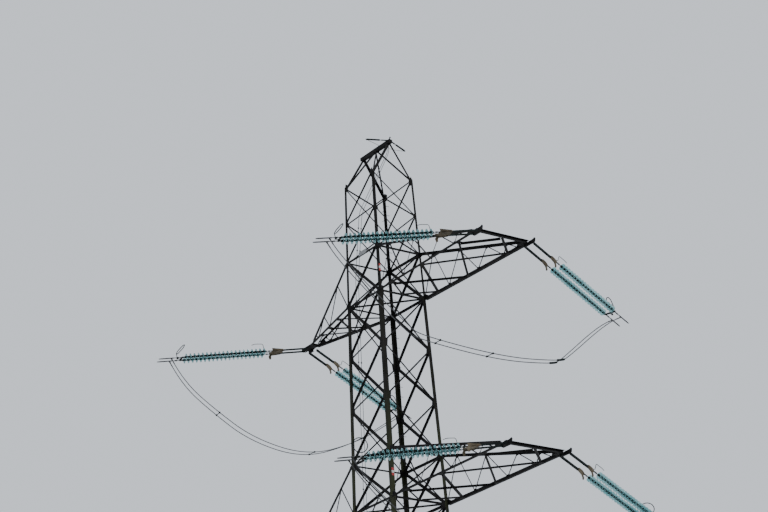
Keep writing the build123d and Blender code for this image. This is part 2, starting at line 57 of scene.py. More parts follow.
camera_data = bpy.data.cameras.new("camera")
camera_data.sensor_width = SENSOR
camera_data.lens = LENS
camera_data.clip_start = 1.0
camera_data.clip_end = 2000.0
camera = placed("camera", camera_data)
turned = Matrix((CAMERA_RIGHT, CAMERA_UP, CAMERA_BACK)).transposed().to_4x4()
camera.matrix_world = Matrix.Translation(CAMERA_PLACE) @ turned
bpy.context.scene.camera = camera

# Heights and half widths of the body, in metres
MUFF_TOP = 0.45
PORTAL_TOP = 8.0
WAIST = 16.7
ARM_SPACING = 8.23
ARM_DEPTH = 1.88
CAGE_PANELS = 3
HEAD_MIDDLE = 36.68
HEAD_TOP = 38.28
RIDGE = 39.81
LOWER_LEVELS = [PORTAL_TOP, 11.3, 14.2, WAIST]
ARM_LEVELS = [WAIST, WAIST + ARM_SPACING, WAIST + 2 * ARM_SPACING]
HALF_BASE = 4.245
HALF_WAIST = 1.462
HALF_TOP = 0.964
LOWER = (0.0, WAIST)
UPPER = (WAIST, HEAD_TOP)

# Steel sections
LEG_THICKNESS = 0.014
LEG_WIDTH_LOWER = 0.2
LEG_WIDTH_CAGE = 0.15
LEG_WIDTH_HEAD = 0.09
PLATE = 0.008
BAR_THICKNESS = 0.007
STAND_MOST = 0.046
FLOOR_STAND = 0.075
HORIZONTAL = 0.075
LOWER_BRACE = 0.08
REDUNDANT = 0.05
RIDGE_BEAM = 0.15

# Bolts: half the head's width over its corners, and their places along a bar
BOLT = 0.013
HEAVY_BOLT = 0.015
ARM_BOLT = 0.011
BOLT_GAPS = (0.035, 0.085)
CLOSE_GAPS = (0.03, 0.07)

# Cross-arms
SQUARE_REACH = [7.28, 7.99, 7.28]
SQUARE_HALF_END = [1.45, 1.31, 1.20]
POINTED_REACH = [5.40, 6.11, 5.40]
ARM_CHORD = 0.11
TIP_HALF = 0.15
TIP_PLATE_LENGTH = 0.95
END_PLATE_REACH = 0.40
END_PLATE_HEIGHT = 0.23
END_PLATE_BELOW = 0.035
TIP_PLATE_REACH = 0.27
END_PLATE = 0.024

# Tension sets: what differs between back and ahead is a pair
TURN = (17, 15)
DIP = (7.6, 15)
STRING_SPACING = (0.35, 0.41)
CONDUCTOR_SPACING = (0.33, 0.40)
LINK_DEPTH = (0.055, 0.088)
ATTACHED_BELOW = 0.07
LINK_END = 1.03
PLATE_END = 1.43
STRING_START = 1.70
DISC_PITCH = 0.17
DISC_COUNT = 20
STRING_END = STRING_START + DISC_PITCH * DISC_COUNT
YOKE_END = STRING_END + 0.30
CLAMP_LENGTH = 0.75
TERMINAL_AT = 0.25
TERMINAL_LENGTH = 0.26

# Jumper loops: share of the way across, and drop below the straight line between the ends
JUMPER_DIAMETER = 0.034
JUMPER_ROUTES = {
    "square": [(0.000, 0.0), (0.042, 0.70), (0.243, 2.62), (0.280, 2.83), (0.560, 2.87),
               (0.757, 2.46), (0.785, 2.24), (0.940, 0.44), (1.000, 0.0)],
    "pointed": [(0.000, 0.0), (0.055, 0.90), (0.170, 1.71), (0.330, 2.59), (0.560, 2.82),
                (0.780, 1.76), (0.935, 0.56), (1.000, 0.0)],
}
SPACERS = {"square": (0.344, 0.528), "pointed": (0.187, 0.60)}
SLEEVE_AT = 0.757
SLEEVE_LENGTH = 0.34
SLEEVE_RADIUS = 0.040
LEFT_LOOPS = (12.02, 12.20)

# Arms: kind, level, and the lengths of the inner and outer loop
ARMS = {
    "top_right": ("square", 2, (14.35, 14.53)),
    "middle_right": ("square", 1, (14.55, 14.73)),
    "bottom_right": ("square", 0, (14.80, 14.98)),
    "top_left": ("pointed", 2, LEFT_LOOPS),
    "middle_left": ("pointed", 1, LEFT_LOOPS),
    "bottom_left": ("pointed", 0, LEFT_LOOPS),
}


# Materials
SPECULAR = 0.14


class Paint:
    """One material, its texture built up step by step."""

    def __init__(self, name, roughness, metallic=0.0):
        self.material = bpy.data.materials.new(name)
        self.material.use_nodes = True
        self.tree = self.material.node_tree
        self.shader = self.tree.nodes["Principled BSDF"].inputs
        self.shader["Roughness"].default_value = roughness
        self.shader["Metallic"].default_value = metallic
        self.shader["Specular IOR Level"].default_value = SPECULAR

    def feed(self, socket, value):
        """Link an output to a socket, or set a number, vector or colour there."""
        if isinstance(value, bpy.types.NodeSocket):
            self.tree.links.new(value, socket)
        else:
            socket.default_value = (*value, 1) if socket.type == "RGBA" else value

    def node(self, kind, inputs, **settings):
        made = self.tree.nodes.new(f"ShaderNode{kind}")
        for name, value in settings.items():
            setattr(made, name, value)
        for key, value in inputs.items():
            self.feed(made.inputs[key], value)
        return made.outputs

    def place(self, stretch=(1, 1, 1)):
        """The object's own coordinates in metres, stretched along its axes."""
        source = self.node("TexCoord", {})["Object"]
        return self.node("Mapping", {"Vector": source, "Scale": stretch})["Vector"]

    def noise(self, scale, detail, stretch=(1, 1, 1), roughness=0.6):
        sockets = {"Vector": self.place(stretch), "Scale": scale, "Detail": detail, "Roughness": roughness}
        return self.node("TexNoise", sockets)["Fac"]

    def ramp(self, factor, *stops):
        """Colours or greys at places from 0 to 1 along a factor."""
        ramp = self.tree.nodes.new("ShaderNodeValToRGB")
        elements = ramp.color_ramp.elements
        while len(elements) < len(stops):
            elements.new(0.5)
        for element, (place, colour) in zip(elements, stops):
            element.position = place
            element.color = (*colour, 1) if isinstance(colour, tuple) else (colour, colour, colour, 1)
        self.feed(ramp.inputs["Fac"], factor)
        return ramp.outputs["Color"]

    def blend(self, factor, first, second, mode="MIX"):
        return self.node("Mix", {0: factor, 6: first, 7: second}, data_type="RGBA", blend_type=mode)[2]

    def darken(self, colour, shade):
        return self.blend(1.0, colour, shade, "MULTIPLY")

    def colour(self, value):
        self.feed(self.shader["Base Color"], value)

    def roughness(self, *ramp):
        self.feed(self.shader["Roughness"], self.ramp(*ramp))

    def bump(self, height, strength, distance):
        sockets = {"Height": height, "Strength": strength, "Distance": distance}
        self.feed(self.shader["Normal"], self.node("Bump", sockets)["Normal"])


def weathered(name, dark, middle, light, rust, rust_share, metallic, moss=None):
    """Old galvanised and painted steel: broad stains, run-off streaks, rust specks and fine grain."""
    paint = Paint(name, 0.7, metallic)
    grain = paint.noise(60.0, 5)
    colour = paint.ramp(paint.noise(0.55, 5), (0.30, dark), (0.52, middle), (0.74, light))
    colour = paint.darken(colour, paint.ramp(paint.noise(5.0, 4, (1, 1, 0.12)), (0.35, 0.55), (0.62, 1.0)))
    colour = paint.darken(colour, paint.ramp(grain, (0.30, 0.72), (0.75, 1.0)))
    specks = paint.noise(9.0, 8, roughness=0.7)
    specks = paint.ramp(specks, (0.70 - rust_share, 0.0), (0.78 - rust_share, 1.0))
    colour = paint.blend(specks, colour, rust)
    if moss:
        colour = mossy(paint, colour, *moss)
    paint.colour(colour)
    paint.roughness(grain, (0.25, 0.58), (0.8, 0.86))
    paint.bump(grain, 0.35, 0.002)
    return paint.material


def mossy(paint, colour, whole_below, none_above, green):
    """Moss in patches, thinning out with the height, on steel that is darker further up."""
    height = paint.node("SeparateXYZ", {0: paint.place()})["Z"]
    limits = {"From Min": whole_below, "From Max": none_above, "To Min": 1.0, "To Max": 0.0}
    reach = paint.node("MapRange", {"Value": height, **limits})["Result"]
    patches = paint.ramp(paint.noise(2.2, 7, (1, 1, 0.5)), (0.38, 0.0), (0.58, 1.0))
    share = paint.node("Math", {0: reach, 1: patches}, operation="MULTIPLY")[0]
    return paint.darken(paint.blend(share, colour, green), paint.ramp(reach, (0.0, 0.35), (0.8, 1.0)))


def glass_material():
    paint = Paint("teal_glass", 0.08)
    colour = paint.ramp(paint.noise(1.3, 3), (0.3, (0.20, 0.50, 0.52)), (0.7, (0.50, 0.78, 0.79)))
    grime = paint.noise(24.0, 6)
    paint.colour(paint.blend(paint.ramp(grime, (0.56, 0.0), (0.82, 0.55)), colour, (0.10, 0.16, 0.15)))
    paint.roughness(grime, (0.45, 0.05), (0.8, 0.38))
    paint.shader["Transmission Weight"].default_value = 0.8
    paint.shader["IOR"].default_value = 1.25
    paint.bump(paint.noise(40.0, 3), 0.08, 0.001)
    return paint.material


def wire_material(name, dark, light):
    """Stranded aluminium gone grey, its lay drawn as slanting bands, with painted shade in the grooves
    between the strands.
    """
    paint = Paint(name, 0.5, 0.3)
    bands = {"Vector": paint.place(), "Scale": 18.0, "Distortion": 0.6}
    lay = paint.node("TexWave", bands, bands_direction="DIAGONAL")["Fac"]
    stains = paint.noise(3.0, 6)
    colour = paint.ramp(stains, (0.3, dark), (0.72, light))
    # painted shade: the grooves between the strands are drawn darker to stand for their shade
    painted_groove_shade = paint.ramp(stains, (0.3, tuple(c * 0.45 for c in dark)), (0.72, tuple(c * 0.5 for c in light)))
    paint.colour(paint.blend(paint.ramp(lay, (0.0, 0.0), (0.35, 0.75)), painted_groove_shade, colour))
    paint.roughness(paint.noise(30.0, 4), (0.3, 0.38), (0.7, 0.62))
    paint.bump(lay, 0.5, 0.003)
    return paint.material


def concrete_material():
    paint = Paint("concrete", 0.92)
    broad = paint.noise(1.8, 8)
    tones = ((0.28, (0.24, 0.23, 0.20)), (0.5, (0.36, 0.35, 0.31)), (0.75, (0.46, 0.45, 0.41)))
    colour = paint.ramp(broad, *tones)
    damp = paint.ramp(paint.noise(4.0, 5, (1, 1, 0.3)), (0.50, 0.0), (0.75, 0.7))
    colour = paint.blend(damp, colour, (0.13, 0.14, 0.09))
    # painted shade: small dark specks stand for the shade inside the concrete's pores
    painted_pore_shade = paint.ramp(paint.noise(55.0, 6), (0.30, 0.0), (0.42, 1.0))
    paint.colour(paint.blend(painted_pore_shade, paint.ramp(broad, (0.3, 0.10), (0.7, 0.16)), colour))
    paint.roughness(paint.noise(20.0, 5), (0.3, 0.82), (0.7, 0.97))
    paint.bump(paint.noise(45.0, 8), 0.6, 0.006)
    return paint.material


def enamel(name, colour, faded):
    paint = Paint(name, 0.45)
    wear = paint.noise(38.0, 6)
    mixed = paint.ramp(paint.noise(16.0, 7), (0.35, colour), (0.62, faded))
    paint.colour(paint.blend(paint.ramp(wear, (0.66, 0.0), (0.70, 1.0)), mixed, (0.09, 0.05, 0.03)))
    paint.roughness(paint.noise(25.0, 4), (0.3, 0.35), (0.7, 0.6))
    paint.bump(wear, 0.2, 0.001)
    return paint.material


# Steels: dark, middle and light tone, rust, the rust's share, metallic
MOSS = (22.0, 35.0, (0.038, 0.045, 0.018))
STEEL = weathered("weathered_steel", (0.006, 0.006, 0.006), (0.013, 0.012, 0.012), (0.026, 0.024, 0.022),
                  (0.045, 0.022, 0.012), 0.02, 0.2)
LEG_STEEL = weathered("leg_steel", (0.010, 0.009, 0.008), (0.022, 0.020, 0.017), (0.046, 0.041, 0.034),
                      (0.055, 0.028, 0.015), 0.03, 0.15, MOSS)
ARM_STEEL = weathered("arm_steel", (0.007, 0.007, 0.007), (0.015, 0.014, 0.014), (0.030, 0.028, 0.026),
                      (0.050, 0.025, 0.014), 0.03, 0.2)
RUST = weathered("rusty_fittings", (0.050, 0.040, 0.027), (0.150, 0.122, 0.080), (0.380, 0.345, 0.250),
                 (0.200, 0.075, 0.028), 0.10, 0.1)
CAPS = weathered("cap_steel", (0.006, 0.010, 0.010), (0.012, 0.020, 0.019), (0.026, 0.034, 0.031),
                 (0.060, 0.030, 0.016), 0.05, 0.2)
CLAMP = weathered("clamp_aluminium", (0.06, 0.06, 0.062), (0.11, 0.11, 0.113), (0.19, 0.19, 0.193),
                  (0.12, 0.10, 0.08), 0.03, 0.6)
GLASS = glass_material()
WIRE = wire_material("grey_conductor", (0.05, 0.052, 0.056), (0.11, 0.113, 0.118))
CONCRETE = concrete_material()
RED = enamel("red_enamel", (0.34, 0.02, 0.025), (0.46, 0.10, 0.09))
WHITE = enamel("white_enamel", (0.60, 0.59, 0.57), (0.46, 0.45, 0.43))
GREY = enamel("grey_plate", (0.20, 0.205, 0.21), (0.30, 0.305, 0.31))


# Mesh making
# Where a bend's arc is divided
BEND_STEPS = (0, 0.25, 0.5, 0.75, 1)


def ring(centre, first, second, radius, sides):
    turns = [2 * pi * k / sides for k in range(sides)]
    return [centre + (first * cos(turn) + second * sin(turn)) * radius for turn in turns]


class Mesh:
    """Collects the faces of one piece, with a material number for each."""

    def __init__(self):
        self.points, self.faces, self.paint = [], [], []

    def add(self, points, faces, paint=0):
        start = len(self.points)
        self.points += points
        self.faces += [tuple(start + i for i in face) for face in faces]
        self.paint += [paint] * len(faces)

    def prism(self, outline, push, paint=0):
        """A flat outline pushed along a vector, closed at both ends."""
        self.rings(list(outline) + [point + push for point in outline], len(outline), paint)

    def rings(self, points, sides, paint=0, closed=False):
        """Skin over rings of points, with a cap at each end unless the last joins the first."""
        count = len(points) // sides
        faces = []
        for i in range(count if closed else count - 1):
            a, b = i * sides, (i + 1) % count * sides
            faces += [(a + k, a + (k + 1) % sides, b + (k + 1) % sides, b + k) for k in range(sides)]
        if not closed:
            faces += [tuple(range(sides))[::-1], tuple(range((count - 1) * sides, count * sides))]
        self.add(points, faces, paint)

    def angle(self, start, end, flat, stand, width, thickness, height=None):
        """An L section: one flange lies along flat, the other along stand, heel on the line."""
        height = height or width
        section = ((0, 0), (width, 0), (width, thickness),
                   (thickness, thickness), (thickness, height), (0, height))
        self.prism([start + flat * a + stand * b for a, b in section], end - start)

    def block(self, centre, first, second, third, paint=0):
        """A box about a centre, its whole edges given as vectors."""
        corner = centre - (first + second + third) / 2
        self.prism([corner, corner + first, corner + first + second, corner + second], third, paint)

    def box(self, centre, size):
        """A block along the frame's own axes."""
        x, y, z = size
        self.block(Vector(centre), X * x, Y * y, Z * z)

    def round_bar(self, start, end, radius, sides=10, paint=0, end_radius=None):
        along = (end - start).normalized()
        first = along.orthogonal().normalized()
        second = along.cross(first)
        points = ring(start, first, second, radius, sides)
        points += ring(end, first, second, end_radius or radius, sides)
        self.rings(points, sides, paint)

    def rod(self, points, radius, bend=0.05, sides=8, paint=0, closed=False):
        """A bent round rod: straight between its points, with an arc of steps at each bend."""
        line = []
        count = len(points)
        for i, here in enumerate(points):
            if not closed and i in (0, count - 1):
                line.append(here)
                continue
            before, after = points[i - 1], points[(i + 1) % count]
            reach = min(bend, (before - here).length * 0.48, (after - here).length * 0.48)
            a = here + (before - here).normalized() * reach
            b = here + (after - here).normalized() * reach
            line += [a * (1 - t) ** 2 + here * (2 * t * (1 - t)) + b * t**2 for t in BEND_STEPS]
        self.tube(line, radius, sides, paint, closed)

    def tube(self, line, radius, sides=8, paint=0, closed=False):
        first = (line[1] - line[0]).normalized().orthogonal().normalized()
        points = []
        count = len(line)
        for i, here in enumerate(line):
            if closed:
                way = line[(i + 1) % count] - line[i - 1]
            else:
                way = line[min(i + 1, count - 1)] - line[max(i - 1, 0)]
            way.normalize()
            first = (first - way * first.dot(way)).normalized()
            points += ring(here, first, way.cross(first), radius, sides)
        self.rings(points, sides, paint, closed)

    def bolt(self, face, axis, grip, size=BOLT):
        """Hexagon head on a joint's outer face, and nut and thread end on its inner one."""
        back = face - axis * grip
        nut_end = back - axis * size * 0.9
        self.round_bar(face, face + axis * size * 0.75, size, 6)
        self.round_bar(back, nut_end, size, 6)
        self.round_bar(nut_end, back - axis * size * 1.7, size * 0.5, 6)

    def finish(self, name, materials, slot, *nodes):
        data = bpy.data.meshes.new(name)
        data.from_pydata(self.points, [], self.faces)
        for material in materials:
            data.materials.append(material)
        data.polygons.foreach_set("material_index", self.paint)
        work = bmesh.new()
        work.from_mesh(data)
        bmesh.ops.recalc_face_normals(work, faces=work.faces)
        work.to_mesh(data)
        work.free()
        data.update()
        piece = placed(name, data)
        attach(piece, "root")
        if nodes:
            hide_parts(*nodes)
        return piece


def hull(points):
    """Convex outline round flat points, counterclockwise."""
    ordered = sorted(set((round(x, 5), round(y, 5)) for x, y in points))
    halves = []
    for way in (ordered, ordered[::-1]):
        half = []
        for p in way:
            while len(half) > 1 and ((half[-1][0] - half[-2][0]) * (p[1] - half[-2][1])
                                     - (half[-1][1] - half[-2][1]) * (p[0] - half[-2][0])) <= 0:
                half.pop()
            half.append(p)
        halves += half[:-1]
    return halves


def channel(back, lips, low, high, wall, flange):
    """Outline of a channel section: its back stands at one side, and its flanges reach to the lips."""
    inner = back + (wall if lips > back else -wall)
    return [(back, low), (lips, low), (lips, low + flange), (inner, low + flange),
            (inner, high - flange), (lips, high - flange), (lips, high), (back, high)]


def mix(start, end, share):
    return tuple(a + (b - a) * share for a, b in zip(start, end))


def round_joint(joint):
    return round(joint[0], 3), round(joint[1], 3)


class Face:
    """Plane of a flat lattice: u and v lie in it, depth runs inwards from its outer face."""

    def __init__(self, origin, u, v, outward):
        self.origin, self.u, self.v, self.outward = origin, u, v, outward

    def point(self, u, v, depth=0.0):
        return self.origin + self.u * u + self.v * v - self.outward * depth

    def plate(self, mesh, points, outer, inner):
        mesh.prism([self.point(u, v, outer) for u, v in hull(points)], self.outward * (outer - inner))

    def brace(self, mesh, start, end, width, depth, outside, trims=(0, 0), stand_most=STAND_MOST):
        """An angle in the plane, its flat flange against a depth, the other standing off it."""
        p, q = self.point(*start, depth), self.point(*end, depth)
        along = (q - p).normalized()
        p, q = p + along * trims[0], q - along * trims[1]
        flat = along.cross(self.outward)
        if flat.z > 0 or (abs(flat.z) < 1e-3 and flat.y > 0):
            flat = -flat
        stand = self.outward if outside else -self.outward
        heel = flat * (-width / 2)
        mesh.angle(p + heel, q + heel, flat, stand, width, BAR_THICKNESS, min(width, stand_most))
        return p, q, along

    def bolts(self, mesh, place, along, gaps, outer, grip, size=BOLT):
        for gap in gaps:
            centre = place + along * gap
            shift = (centre - self.origin).dot(self.outward)
            mesh.bolt(centre - self.outward * (shift + outer), self.outward, grip, size)


def level_face(height):
    return Face(Z * height, X, Y, Z)


class Lattice:
    """Crossed angles and horizontals in a face, with a gusset plate wherever they meet a chord."""

    def __init__(self, mesh, face, gusset=(LEG_THICKNESS, LEG_THICKNESS + PLATE), bolt_size=BOLT):
        self.mesh, self.face, self.gusset, self.bolt_size = mesh, face, gusset, bolt_size
        self.reach = {}

    def bar(self, start, end, width, outside, trims, gaps=BOLT_GAPS, overlap=0.08):
        """An angle bolted to the gussets' outer or inner side, and what their outlines need to hold it."""
        outer, inner = self.gusset
        depth = outer if outside else inner
        p, q, along = self.face.brace(self.mesh, start, end, width, depth, outside, trims)
        head = outer - BAR_THICKNESS if outside else outer
        for place, way in ((p, along), (q, -along)):
            self.face.bolts(self.mesh, place, way, gaps, head, PLATE + BAR_THICKNESS, self.bolt_size)
        run = (end[0] - start[0], end[1] - start[1])
        way = (run[0] / hypot(*run), run[1] / hypot(*run))
        for joint, sign, trim in ((start, 1, trims[0]), (end, -1, trims[1])):
            points = self.reach.setdefault(round_joint(joint), [])
            for side in (-width, width):
                for far, share in ((trim * 0.4, 0.5), (trim + overlap, 0.35)):
                    points.append((joint[0] + way[0] * sign * far - way[1] * side * share,
                                   joint[1] + way[1] * sign * far + way[0] * side * share))

    def crossing(self, a, b, c, d, size):
        """Pack plate and bolt where two bars pass, one on each side of the gussets' plane."""
        ab = (b[0] - a[0], b[1] - a[1])
        cd = (d[0] - c[0], d[1] - c[1])
        share = ((c[0] - a[0]) * cd[1] - (c[1] - a[1]) * cd[0]) / (ab[0] * cd[1] - ab[1] * cd[0])
        x, y = mix(a, b, share)
        turns = [(k + 0.5) * pi / 4 for k in range(8)]
        octagon = [(x + size * cos(turn), y + size * sin(turn)) for turn in turns]
        self.face.plate(self.mesh, octagon, *self.gusset)
        centre = self.face.point(x, y, self.gusset[0] - BAR_THICKNESS)
        self.mesh.bolt(centre, self.face.outward, PLATE + 2 * BAR_THICKNESS, self.bolt_size)

    def gussets(self, joints):
        """A plate at each joint: round its bars' ends and the points given on the chord."""
        for joint, on_chord in joints:
            reach = self.reach.get(round_joint(joint))
            if reach:
                self.face.plate(self.mesh, reach + on_chord, *self.gusset)


# Body: each side's turn from +X in degrees, and the sides that end and start at each corner
SIDES = {"right": 0, "back": 90, "left": 180, "front": 270}
CORNERS = {
    "front_left": ("left", "front"),
    "front_right": ("front", "right"),
    "back_right": ("right", "back"),
    "back_left": ("back", "left"),
}
MAIN_BRACE = {"front": 0.112, "back": 0.116, "left": 0.054, "right": 0.060}
ARM_BAR = {"front": 0.098, "back": 0.105, "left": 0.048, "right": 0.090}
HEAD_BRACE = 0.05
# How far joints, and the gussets' corners on the chord, stand in from the body's edge
LOWER_INSET = 0.07
CAGE_INSET = 0.055
HEAD_INSET = 0.045
CHORD_INSET = 0.018
FLANGE_GAP = 0.012


def half_width(height):
    if height >= WAIST:
        return HALF_WAIST + (HALF_TOP - HALF_WAIST) * (height - WAIST) / (HEAD_TOP - WAIST)
    return HALF_BASE + (HALF_WAIST - HALF_BASE) * height / WAIST


def edge_at(zone, height):
    low, high = zone
    return half_width(low) + (half_width(high) - half_width(low)) * (height - low) / (high - low)


def body_face(side, zone):
    """Outer plane of a side of the body: u runs across it, v is the height above the ground."""
    low, high = zone
    turn = radians(SIDES[side])
    lean = atan2(half_width(low) - half_width(high), high - low)
    outward = Vector((cos(turn) * cos(lean), sin(turn) * cos(lean), sin(lean)))
    across = Vector((-sin(turn), cos(turn), 0))
    up = outward.cross(across)
    up = up / up.z
    foot = Vector((cos(turn) * half_width(low), sin(turn) * half_width(low), low))
    return Face(foot - up * low, across, up, outward)


def in_head(height):
    return height >= ARM_LEVELS[-1] - 0.01


def leg_width(height):
    if height < WAIST:
        return LEG_WIDTH_LOWER
    return LEG_WIDTH_HEAD if in_head(height) else LEG_WIDTH_CAGE


def joint_at(zone, height, sign):
    inset = LOWER_INSET if zone == LOWER else (HEAD_INSET if in_head(height) else CAGE_INSET)
    return (sign * (edge_at(zone, height) - inset), height)


def trims_for(zone, start, end, width, outside):
    """How far an angle stops short of its joints: outside, where the leg's flange is in its way."""
    run = (end[0] - start[0], end[1] - start[1])
    level, rise = abs(run[0]) / hypot(*run), abs(run[1]) / hypot(*run)
    trims = []
    for joint in (start, end):
        if outside:
            inset = edge_at(zone, joint[1]) - abs(joint[0])
            trims.append((leg_width(joint[1]) - inset + FLANGE_GAP + width / 2 * rise) / level)
        else:
            trims.append(max(0.12, (0.05 + width / 2 * rise) / level))
    return trims


def chord_points(zone, height, sign, reach):
    return [(sign * (edge_at(zone, height + rise) - CHORD_INSET), height + rise) for rise in (-reach, reach)]


def cross_panel(lattice, zone, low, high, width, overlap=0.08):
    a, b = joint_at(zone, low, -1), joint_at(zone, high, 1)
    c, d = joint_at(zone, low, 1), joint_at(zone, high, -1)
    for start, end, outside in ((a, b, True), (c, d, False)):
        trims = trims_for(zone, start, end, width, outside)
        lattice.bar(start, end, width, outside, trims, overlap=overlap)
    lattice.crossing(a, b, c, d, width * 0.75)


def cross_bar(lattice, zone, height, width):
    start, end = joint_at(zone, height, -1), joint_at(zone, height, 1)
    lattice.bar(start, end, width, False, (0.0, 0.0), (0.06, 0.13))


def side_joints(zone, heights, reach):
    return [(joint_at(zone, height, sign), chord_points(zone, height, sign, reach))
            for height in heights for sign in (-1, 1)]


def leg_bolts(lattice, zone, height, sign, rises):
    """Bolts through the leg's flange and the gusset behind it."""
    face, size = lattice.face, lattice.bolt_size
    for rise in rises:
        u = sign * (edge_at(zone, height + rise) - leg_width(height + rise) * 0.55)
        lattice.mesh.bolt(face.point(u, height + rise), face.outward, LEG_THICKNESS + PLATE, size)


def upper_side(side):
    mesh = Mesh()
    lattice = Lattice(mesh, body_face(side, UPPER))
    levels, cuts = [], []
    step = (ARM_SPACING - ARM_DEPTH) / CAGE_PANELS
    for arm in ARM_LEVELS:
        pair = [arm if arm > WAIST else WAIST + HORIZONTAL / 2, arm + ARM_DEPTH]
        levels += pair
        cuts += pair
        if arm < ARM_LEVELS[-1]:
            cuts += [arm + ARM_DEPTH + step * (count + 1) for count in range(CAGE_PANELS - 1)]
    cuts += [HEAD_MIDDLE, HEAD_TOP - 0.06]
    for low, high in zip(cuts, cuts[1:]):
        head = low > ARM_LEVELS[-1] + 0.01
        width, overlap = (HEAD_BRACE, 0.03) if head else (MAIN_BRACE[side], 0.07)
        cross_panel(lattice, UPPER, low, high, width, overlap)
    for height in levels:
        cross_bar(lattice, UPPER, height, HORIZONTAL if height == levels[0] else ARM_BAR[side])
    low_cuts = [height for height in cuts if height < ARM_LEVELS[-1]]
    lattice.gussets(side_joints(UPPER, low_cuts, 0.08))
    lattice.gussets(side_joints(UPPER, cuts[len(low_cuts):], 0.05))
    for height in cuts:
        for sign in (-1, 1):
            rises = (-0.11, -0.04, 0.04, 0.11) if height < HEAD_MIDDLE else (-0.06, -0.01)
            leg_bolts(lattice, UPPER, height, sign, rises)
    mesh.finish(f"lattice_upper_{side}", [STEEL], "weathered_steel", f"upper_bracing_{side}")


def lower_side(side):
    mesh = Mesh()
    lattice = Lattice(mesh, body_face(side, LOWER), bolt_size=HEAVY_BOLT)
    levels = LOWER_LEVELS[:-1] + [WAIST - HORIZONTAL / 2]
    middles = [(low + high) / 2 for low, high in zip(levels, levels[1:])]
    for low, middle, high in zip(levels, middles, levels[1:]):
        cross_panel(lattice, LOWER, low, high, LOWER_BRACE)
        for sign in (-1, 1):
            for share in (0.25, 0.75):
                x = sign * abs(mix(joint_at(LOWER, low, 1), joint_at(LOWER, high, -1), share)[0])
                end = (x, low + (high - low) * share)
                outside = (share < 0.5) != (sign < 0)
                lattice.bar(joint_at(LOWER, middle, sign), end, REDUNDANT, outside, (0.17, 0.0), CLOSE_GAPS)
    for height in levels:
        cross_bar(lattice, LOWER, height, HORIZONTAL)
    lattice.gussets(side_joints(LOWER, levels, 0.24))
    lattice.gussets(side_joints(LOWER, middles, 0.12))
    for height in levels + middles:
        rises = (-0.18, -0.06, 0.06, 0.18) if height in levels else (-0.07, 0.07)
        if height + rises[-1] < WAIST and height + rises[0] > PORTAL_TOP - 0.3:
            for sign in (-1, 1):
                leg_bolts(lattice, LOWER, height, sign, rises)
    mesh.finish(f"lattice_lower_{side}", [LEG_STEEL], "weathered_steel", f"lower_bracing_{side}")


# Leg openings: the brace's foot above the footing, and shares of its rise where level ties meet it
PORTAL_FOOT = 0.16
PORTAL_TIES = (0.30, 0.64)
LOW_TIE = PORTAL_TIES[0] / 2
# Slanting webs: their shares on the leg and on the brace
PORTAL_WEBS = ((PORTAL_TIES[0], PORTAL_TIES[1]), (PORTAL_TIES[1], 0.93), (LOW_TIE, PORTAL_TIES[0]))


def portal_half(mesh, side, sign):
    lattice = Lattice(mesh, body_face(side, LOWER), bolt_size=HEAVY_BOLT)
    foot = MUFF_TOP + PORTAL_FOOT
    apex = PORTAL_TOP - HORIZONTAL / 2

    def on_brace(share):
        return (sign * edge_at(LOWER, foot) * (1 - share) * 0.985, foot + (apex - foot) * share)

    def on_leg(share):
        return joint_at(LOWER, foot + (apex - foot) * share, sign)

    start = joint_at(LOWER, foot, sign)
    end = (sign * 0.05, apex)
    lattice.bar(start, end, 0.09, False, (0.16, 0.06), overlap=0.2)
    for share in PORTAL_TIES:
        lattice.bar(on_leg(share), on_brace(share), 0.055, True, (0.19, 0.0))
    for leg_share, share in PORTAL_WEBS:
        lattice.bar(on_leg(leg_share), on_brace(share), 0.05, False, (0.18, 0.06))
    joints = [(start, chord_points(LOWER, foot, sign, 0.14))]
    for share in (*PORTAL_TIES, LOW_TIE):
        joints.append((on_leg(share), chord_points(LOWER, on_leg(share)[1], sign, 0.13)))
        leg_bolts(lattice, LOWER, on_leg(share)[1], sign, (-0.08, 0.08))
    joints += [(on_brace(share), []) for share in PORTAL_TIES]
    joints.append((end, [(0.0, apex - 0.35), (0.0, apex + 0.04)]))
    lattice.gussets(joints)
    leg_bolts(lattice, LOWER, foot, sign, (-0.08, 0.02, 0.12))


def portal(corner):
    mesh = Mesh()
    for side, sign in zip(CORNERS[corner], (1, -1)):
        portal_half(mesh, side, sign)
    mesh.finish(f"portal_{corner}", [LEG_STEEL], "weathered_steel", f"portal_bracing_{corner}")


PLAN_BAR = 0.085
PLAN_DEPTH = 0.004
PLAN_TRIMS = (0.10, 0.10)
PLAN_INSET = 0.036
PLAN_CORNERS = ((-0.1, -0.1), (-0.1, 0.1), (0.1, -0.1), (0.1, 0.1))


def plan_bracing():
    """Level angles inside the body, bolted to plates on its horizontals."""
    mesh = Mesh()
    for height in [LOWER_LEVELS[0]] + ARM_LEVELS:
        centre = height + HORIZONTAL / 2 if height == WAIST else height
        inside = half_width(centre) - PLAN_INSET
        limit = inside - 0.005
        face = level_face(centre)
        if height < WAIST:
            bars = [((0, y * inside), (x * inside, 0)) for x, y in ((1, 1), (1, -1), (-1, -1), (-1, 1))]
        else:
            bars = [((-inside, -inside), (inside, inside))]
        for start, end in bars:
            p, q, along = face.brace(mesh, start, end, PLAN_BAR, PLAN_DEPTH, True, PLAN_TRIMS, FLOOR_STAND)
            for place, way, joint in ((p, along, start), (q, -along, end)):
                face.bolts(mesh, place, way, BOLT_GAPS, PLAN_DEPTH - BAR_THICKNESS, PLATE + BAR_THICKNESS)
                x, y = joint[0] * 0.93, joint[1] * 0.93
                corners = [(x + a, y + b) for a, b in PLAN_CORNERS] + [joint]
                corners = [tuple(max(-limit, min(limit, at)) for at in corner) for corner in corners]
                face.plate(mesh, corners, PLAN_DEPTH, PLAN_DEPTH + PLATE)
    mesh.finish("plan_frames", [STEEL], "weathered_steel", "plan_bracing")


